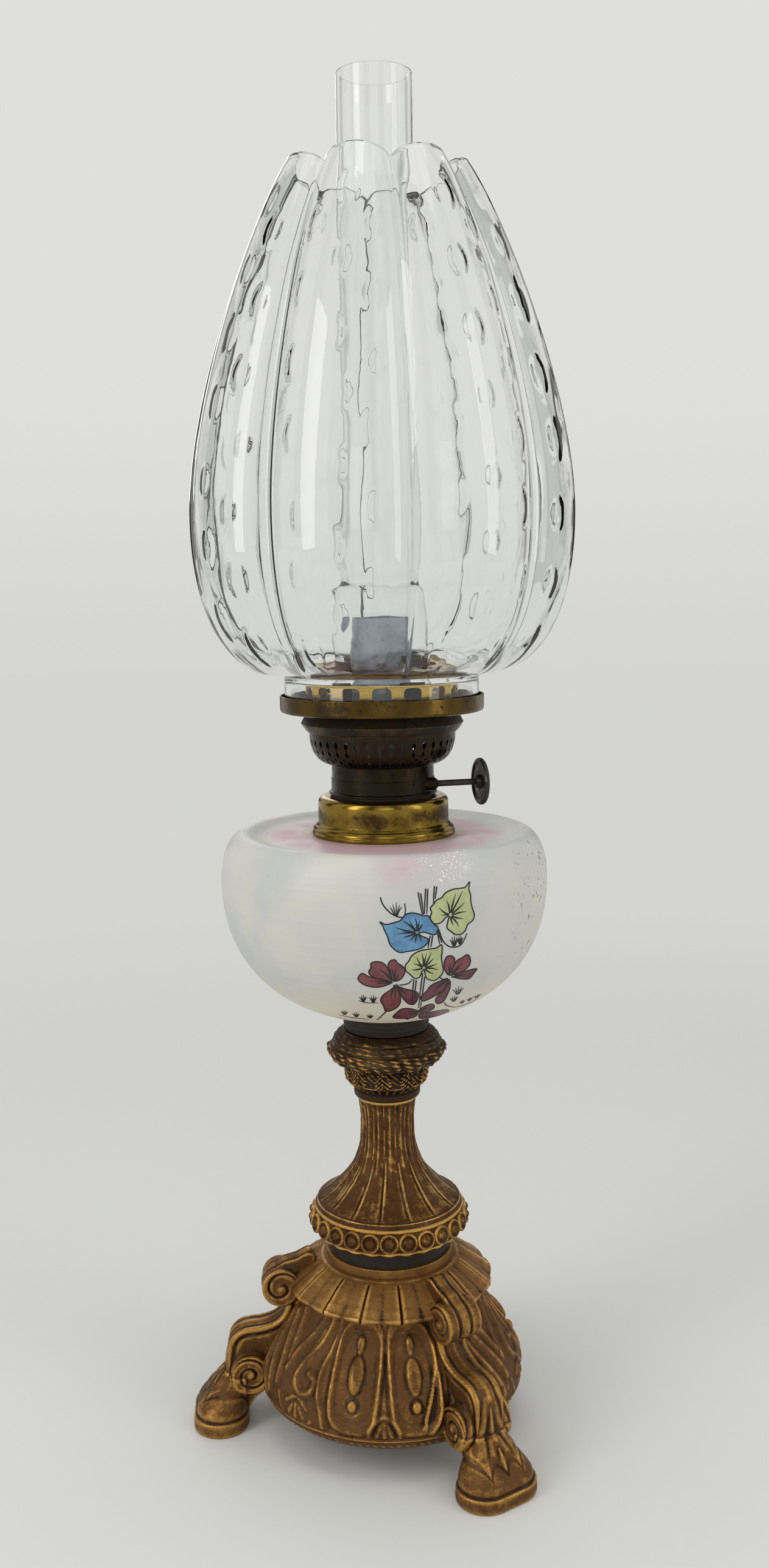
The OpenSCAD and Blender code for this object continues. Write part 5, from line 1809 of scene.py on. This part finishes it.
def makeApron(values):
    def side(k):
        points = bezier((47 - k, 77), (47 - k, 62), (70.5 - k, 48), (70.5 - k, 29), 14)
        return points + bezier((70.5 - k, 29), (70.5 - k, 23), (68 - k, 18), (64 - k, 17), 6)

    outer = denser([(47, 77)] + side(0), values["fine"], False)
    inner = denser(side(3.5)[::-1][::2] + [(43.5, 77)], 4, False)
    columns = round(math.radians(120) * 68 / values["fine"])
    sector = turned("sector", outer + inner, columns, apronRelief, (-120, 0))
    markRidges(sector, 7, 0.5)
    for k, leg in enumerate(values["legs"]):
        mesh = sector.data.copy()
        mesh.transform(Matrix.Rotation(math.radians(leg), 4, "Z"))
        piece = bpy.data.objects.new("apron_wall_" + "abc"[k], mesh)
        scene.collection.objects.link(piece)
        dress(piece, baseMetal, "tripod_base", False)
    bpy.data.objects.remove(sector)


def capRelief(alpha, r, z, out):
    pitch = 360 / baseValues["petals"]
    off = nearest(alpha, baseValues["firstEdge"], pitch) * np.pi / 180 * r
    half = pitch / 2 * np.pi / 180 * r
    on = window(r, 37.5, 60, 3) * (out > 0)
    petal = 1 - (off / half) ** 2
    edge = -1.1 * hump(off, 0, 0.5) + 0.35 * hump(off, 1.2, 0.6)
    lip = 0.5 * hump(z, 78.6, 0.9) + 0.5 * petal * window(r, 50, 60, 3)
    ring = 0.3 * hump(r, 36.2, 0.7) * (z > 91) * (out > 0)
    return on * (0.7 * petal + edge * window(r, 38.5, 60, 3) + lip - 0.5) + ring


def makeCap(values):
    outer = [(3.15, 88), (3.15, 92), (29.5, 92), (29.5, 95.9), (33.5, 95.9), (33.5, 92)]
    outer += bezier((33.5, 92), (40.5, 91), (50, 83), (54, 79), 12)
    outer += [(53.9, 77.9), (53.5, 77), (43.5, 77), (29.5, 88)]
    line = denser(softened(outer, 0.35), 0.9)
    piece = turned("petalled_cap", line, 336, capRelief)
    markRidges(piece, 4)
    # the cap takes the lighter copy of the base bronze, with light from above painted into its colour
    dress(piece, capMetalPaintedTopLight, "tripod_base")


makeCap(baseValues)
makeApron(baseValues)
print("cap and apron made")

legValues = {
    "voxel": 0.62,
    "calm": 6,
    "wide": 8.0,
    "upperScroll": (58.5, 77, 10.2, 9.6),
    "lowerScroll": (75.5, 31.0, 10.4, 14.6),
    "hoof": (92, 87.5),
}


def prism(points, half):  # an outline in the leg's own plane, pulled to both sides
    count = len(points)
    solid = [(x, -half, z) for x, z in points] + [(x, half, z) for x, z in points]
    faces = [list(range(count)), list(range(count, 2 * count))[::-1]]
    for k in range(count):
        j = (k + 1) % count
        faces.append([j, k, count + k, count + j])
    return solid, faces


def disc(x, z, radius, half, count=40):
    ring = [(x + radius * math.cos(a), z + radius * math.sin(a)) for a in np.arange(count) * fullTurn / count]
    return prism(ring, half)


def hoofSolid(values):
    front, back = values["hoof"]
    rows = []
    layers = (
        (0, front, 14.2, 7), (1.0, front, 14.8, 7), (7.2, front, 14.6, 7), (8.2, front - 0.3, 13.6, 6.8),
        (11, front - 0.8, 13.4, 6.4), (14, front - 1.8, 12.6, 5.6), (17.5, back + 1.2, 11.0, 4.8),
        (21, back - 0.4, 9.2, 4.0), (25, back - 2.2, 7.4, 3.4), (28, back - 3.2, 6.0, 3.0),
    )
    for z, x, radius, shift in layers:
        ring = []
        for a in np.arange(48) * fullTurn / 48:
            side = shift if math.sin(a) > 0 else -shift
            ring.append((x + radius * math.cos(a), side + radius * math.sin(a), z))
        rows.append(ring)
    points = [p for ring in rows for p in ring]
    faces = [list(range(48))[::-1]]
    for k in range(len(rows) - 1):
        for j in range(48):
            n = (j + 1) % 48
            faces.append([48 * k + j, 48 * k + n, 48 * k + 48 + n, 48 * k + 48 + j])
    faces.append([48 * (len(rows) - 1) + j for j in range(48)])
    return points, faces


def legOutline():
    line = [(77, 9), (88.2, 9)] + bezier((88.2, 10), (88.9, 22), (88.5, 36), (87.6, 42), 6)
    line += bezier((87.6, 42), (86.6, 50), (82, 53.6), (75, 54), 7)
    line += bezier((75, 54), (65, 54.5), (57.5, 57), (55.5, 66), 7) + [(55.5, 77)]
    wall = bezier((45.25, 77), (45.25, 62), (68.75, 48), (68.75, 29), 10)
    wall += bezier((68.75, 29), (68.75, 25), (68.5, 22), (67.5, 19), 3)
    return line + wall + [(73, 15)]


def spiral(x, z, centre, size, pitch, turnWay):
    dx, dz = x - centre[0], z - centre[1]
    q = np.hypot(dx, dz)
    angle = np.arctan2(dz, dx) * turnWay / fullTurn
    step = (q / pitch - angle + 0.5) % 1 - 0.5
    rim = np.clip((size + 0.6 - q) / 0.8, 0, 1)
    eye = np.clip(1.3 - q / (0.42 * pitch), 0, 1)
    return rim * (-1.1 * hump(step * pitch, 0, 0.55) * (1 - eye) + 0.9 * eye + 0.35)


def legRelief(place, facing, values):
    x, t, z = place.T
    nx, nt, nz = facing.T
    side = window(np.abs(nt), 0.72, 2, 0.35)
    front = window(nx, 0.25, 2, 0.35)
    upper, lower = values["upperScroll"], values["lowerScroll"]
    push = side * spiral(x, z, upper[:2], upper[2], 6.4, 1) * (np.abs(t) > upper[3] - 1.6)
    push += side * spiral(x, z, lower[:2], lower[2], 5.2, -1) * (np.abs(t) > lower[3] - 1.6)
    gap = np.full(len(x), 1e9)
    path = np.array(legOutline()[2:23])
    for start, end in zip(path[:-1], path[1:]):
        along = end - start
        s = np.clip(((x - start[0]) * along[0] + (z - start[1]) * along[1]) / (along @ along), 0, 1)
        gap = np.minimum(gap, np.hypot(x - start[0] - s * along[0], z - start[1] - s * along[1]))
    plate = side * (np.abs(t) < values["wide"] + 0.6) * (z > 20)
    push += plate * (-0.9 * hump(gap, 3.4, 0.9) + 0.4 * hump(gap, 1.4, 1.0))
    fur = window(z, 22, 46, 6) * np.maximum(front, 0.5 * (1 - side)) * (x > 70)
    wave = np.abs(t) + 0.5 * (z - 20) - 0.008 * (z - 20) ** 2
    push += fur * (1.2 * np.abs(np.cos(wave * np.pi / 5.2)) ** 0.7 - 0.8 + 0.9 * hump(t, 0, 1.2))
    spine = window(z, 46, 66, 4) * window(nz + nx, 0.3, 3, 0.3)
    push += spine * (0.8 * hump(t, 0, 2.2) - 0.6 * hump(np.abs(t), 4.6, 0.8) + 0.3)
    top = window(z, 66, 99, 4) * window(nx + nz, 0.3, 3, 0.3)
    push += top * (-0.8 * hump(np.abs(t), 3.4, 0.8) + 0.5 * hump(t, 0, 2.0))
    hoof = window(z, 8.4, 30, 1.2) * (x > 78)
    tuft = 15.5 + 4.5 * np.abs(np.sin(t * np.pi / 9.5)) ** 0.8
    push += hoof * (0.9 * np.clip((z - tuft) / 3, 0, 1) - 0.35 * hump(z - tuft, -0.8, 0.9))
    push -= 0.6 * hump(z, 8.2, 0.7) * (x > 76)
    return push


def makeLegs(values):
    points, faces = [], []
    leafTip = [(61.5, 86.4), (57, 89.4), (50, 91.2), (44.6, 94.2), (41.2, 93.8), (39.8, 90.6), (42, 87), (51, 79)]
    parts = [
        prism(legOutline(), values["wide"]),
        prism(leafTip, 5.2),
        disc(*values["upperScroll"]),
        disc(*values["lowerScroll"]),
        disc(43.4, 91.0, 3.4, 4.2, 24),
        hoofSolid(values),
    ]
    for solid, sides in parts:
        start = len(points)
        points += solid
        faces += [[start + i for i in face] for face in sides]
    leg = meshPiece("leg", (np.array(points) * mm).tolist(), faces)
    bpy.context.view_layer.objects.active = leg
    change = leg.modifiers.new("remesh", "REMESH")
    change.mode = "VOXEL"
    change.voxel_size = values["voxel"] * mm
    change = leg.modifiers.new("calm", "SMOOTH")
    change.factor = 0.5
    change.iterations = values["calm"]
    bpy.context.view_layer.update()
    mesh = bpy.data.meshes.new_from_object(leg.evaluated_get(bpy.context.evaluated_depsgraph_get()))
    count = len(mesh.vertices)
    place = np.empty(count * 3)
    mesh.vertices.foreach_get("co", place)
    place = place.reshape(-1, 3) / mm
    facing = np.empty(count * 3)
    mesh.vertex_normals.foreach_get("vector", facing)
    facing = facing.reshape(-1, 3)
    place += facing * legRelief(place, facing, values)[:, None]
    place[:, 2] = np.maximum(place[:, 2], 0.02)
    place[:, 0] = np.minimum(place[:, 0], 106.8)
    faces = [list(face.vertices) for face in mesh.polygons]
    bpy.data.objects.remove(leg)
    for name, degrees in zip(("right", "back", "left"), baseValues["legs"]):
        a = math.radians(degrees)
        x, t, z = place.T
        solid = np.stack([x * math.sin(a) + t * math.cos(a), t * math.sin(a) - x * math.cos(a), z], axis=1)
        piece = meshPiece("scroll_leg_" + name, (solid * mm).tolist(), faces, 70)
        markRidges(piece, 6, 0.3)
        dress(piece, baseMetal, "tripod_base", False)


makeLegs(legValues)
print("legs made")
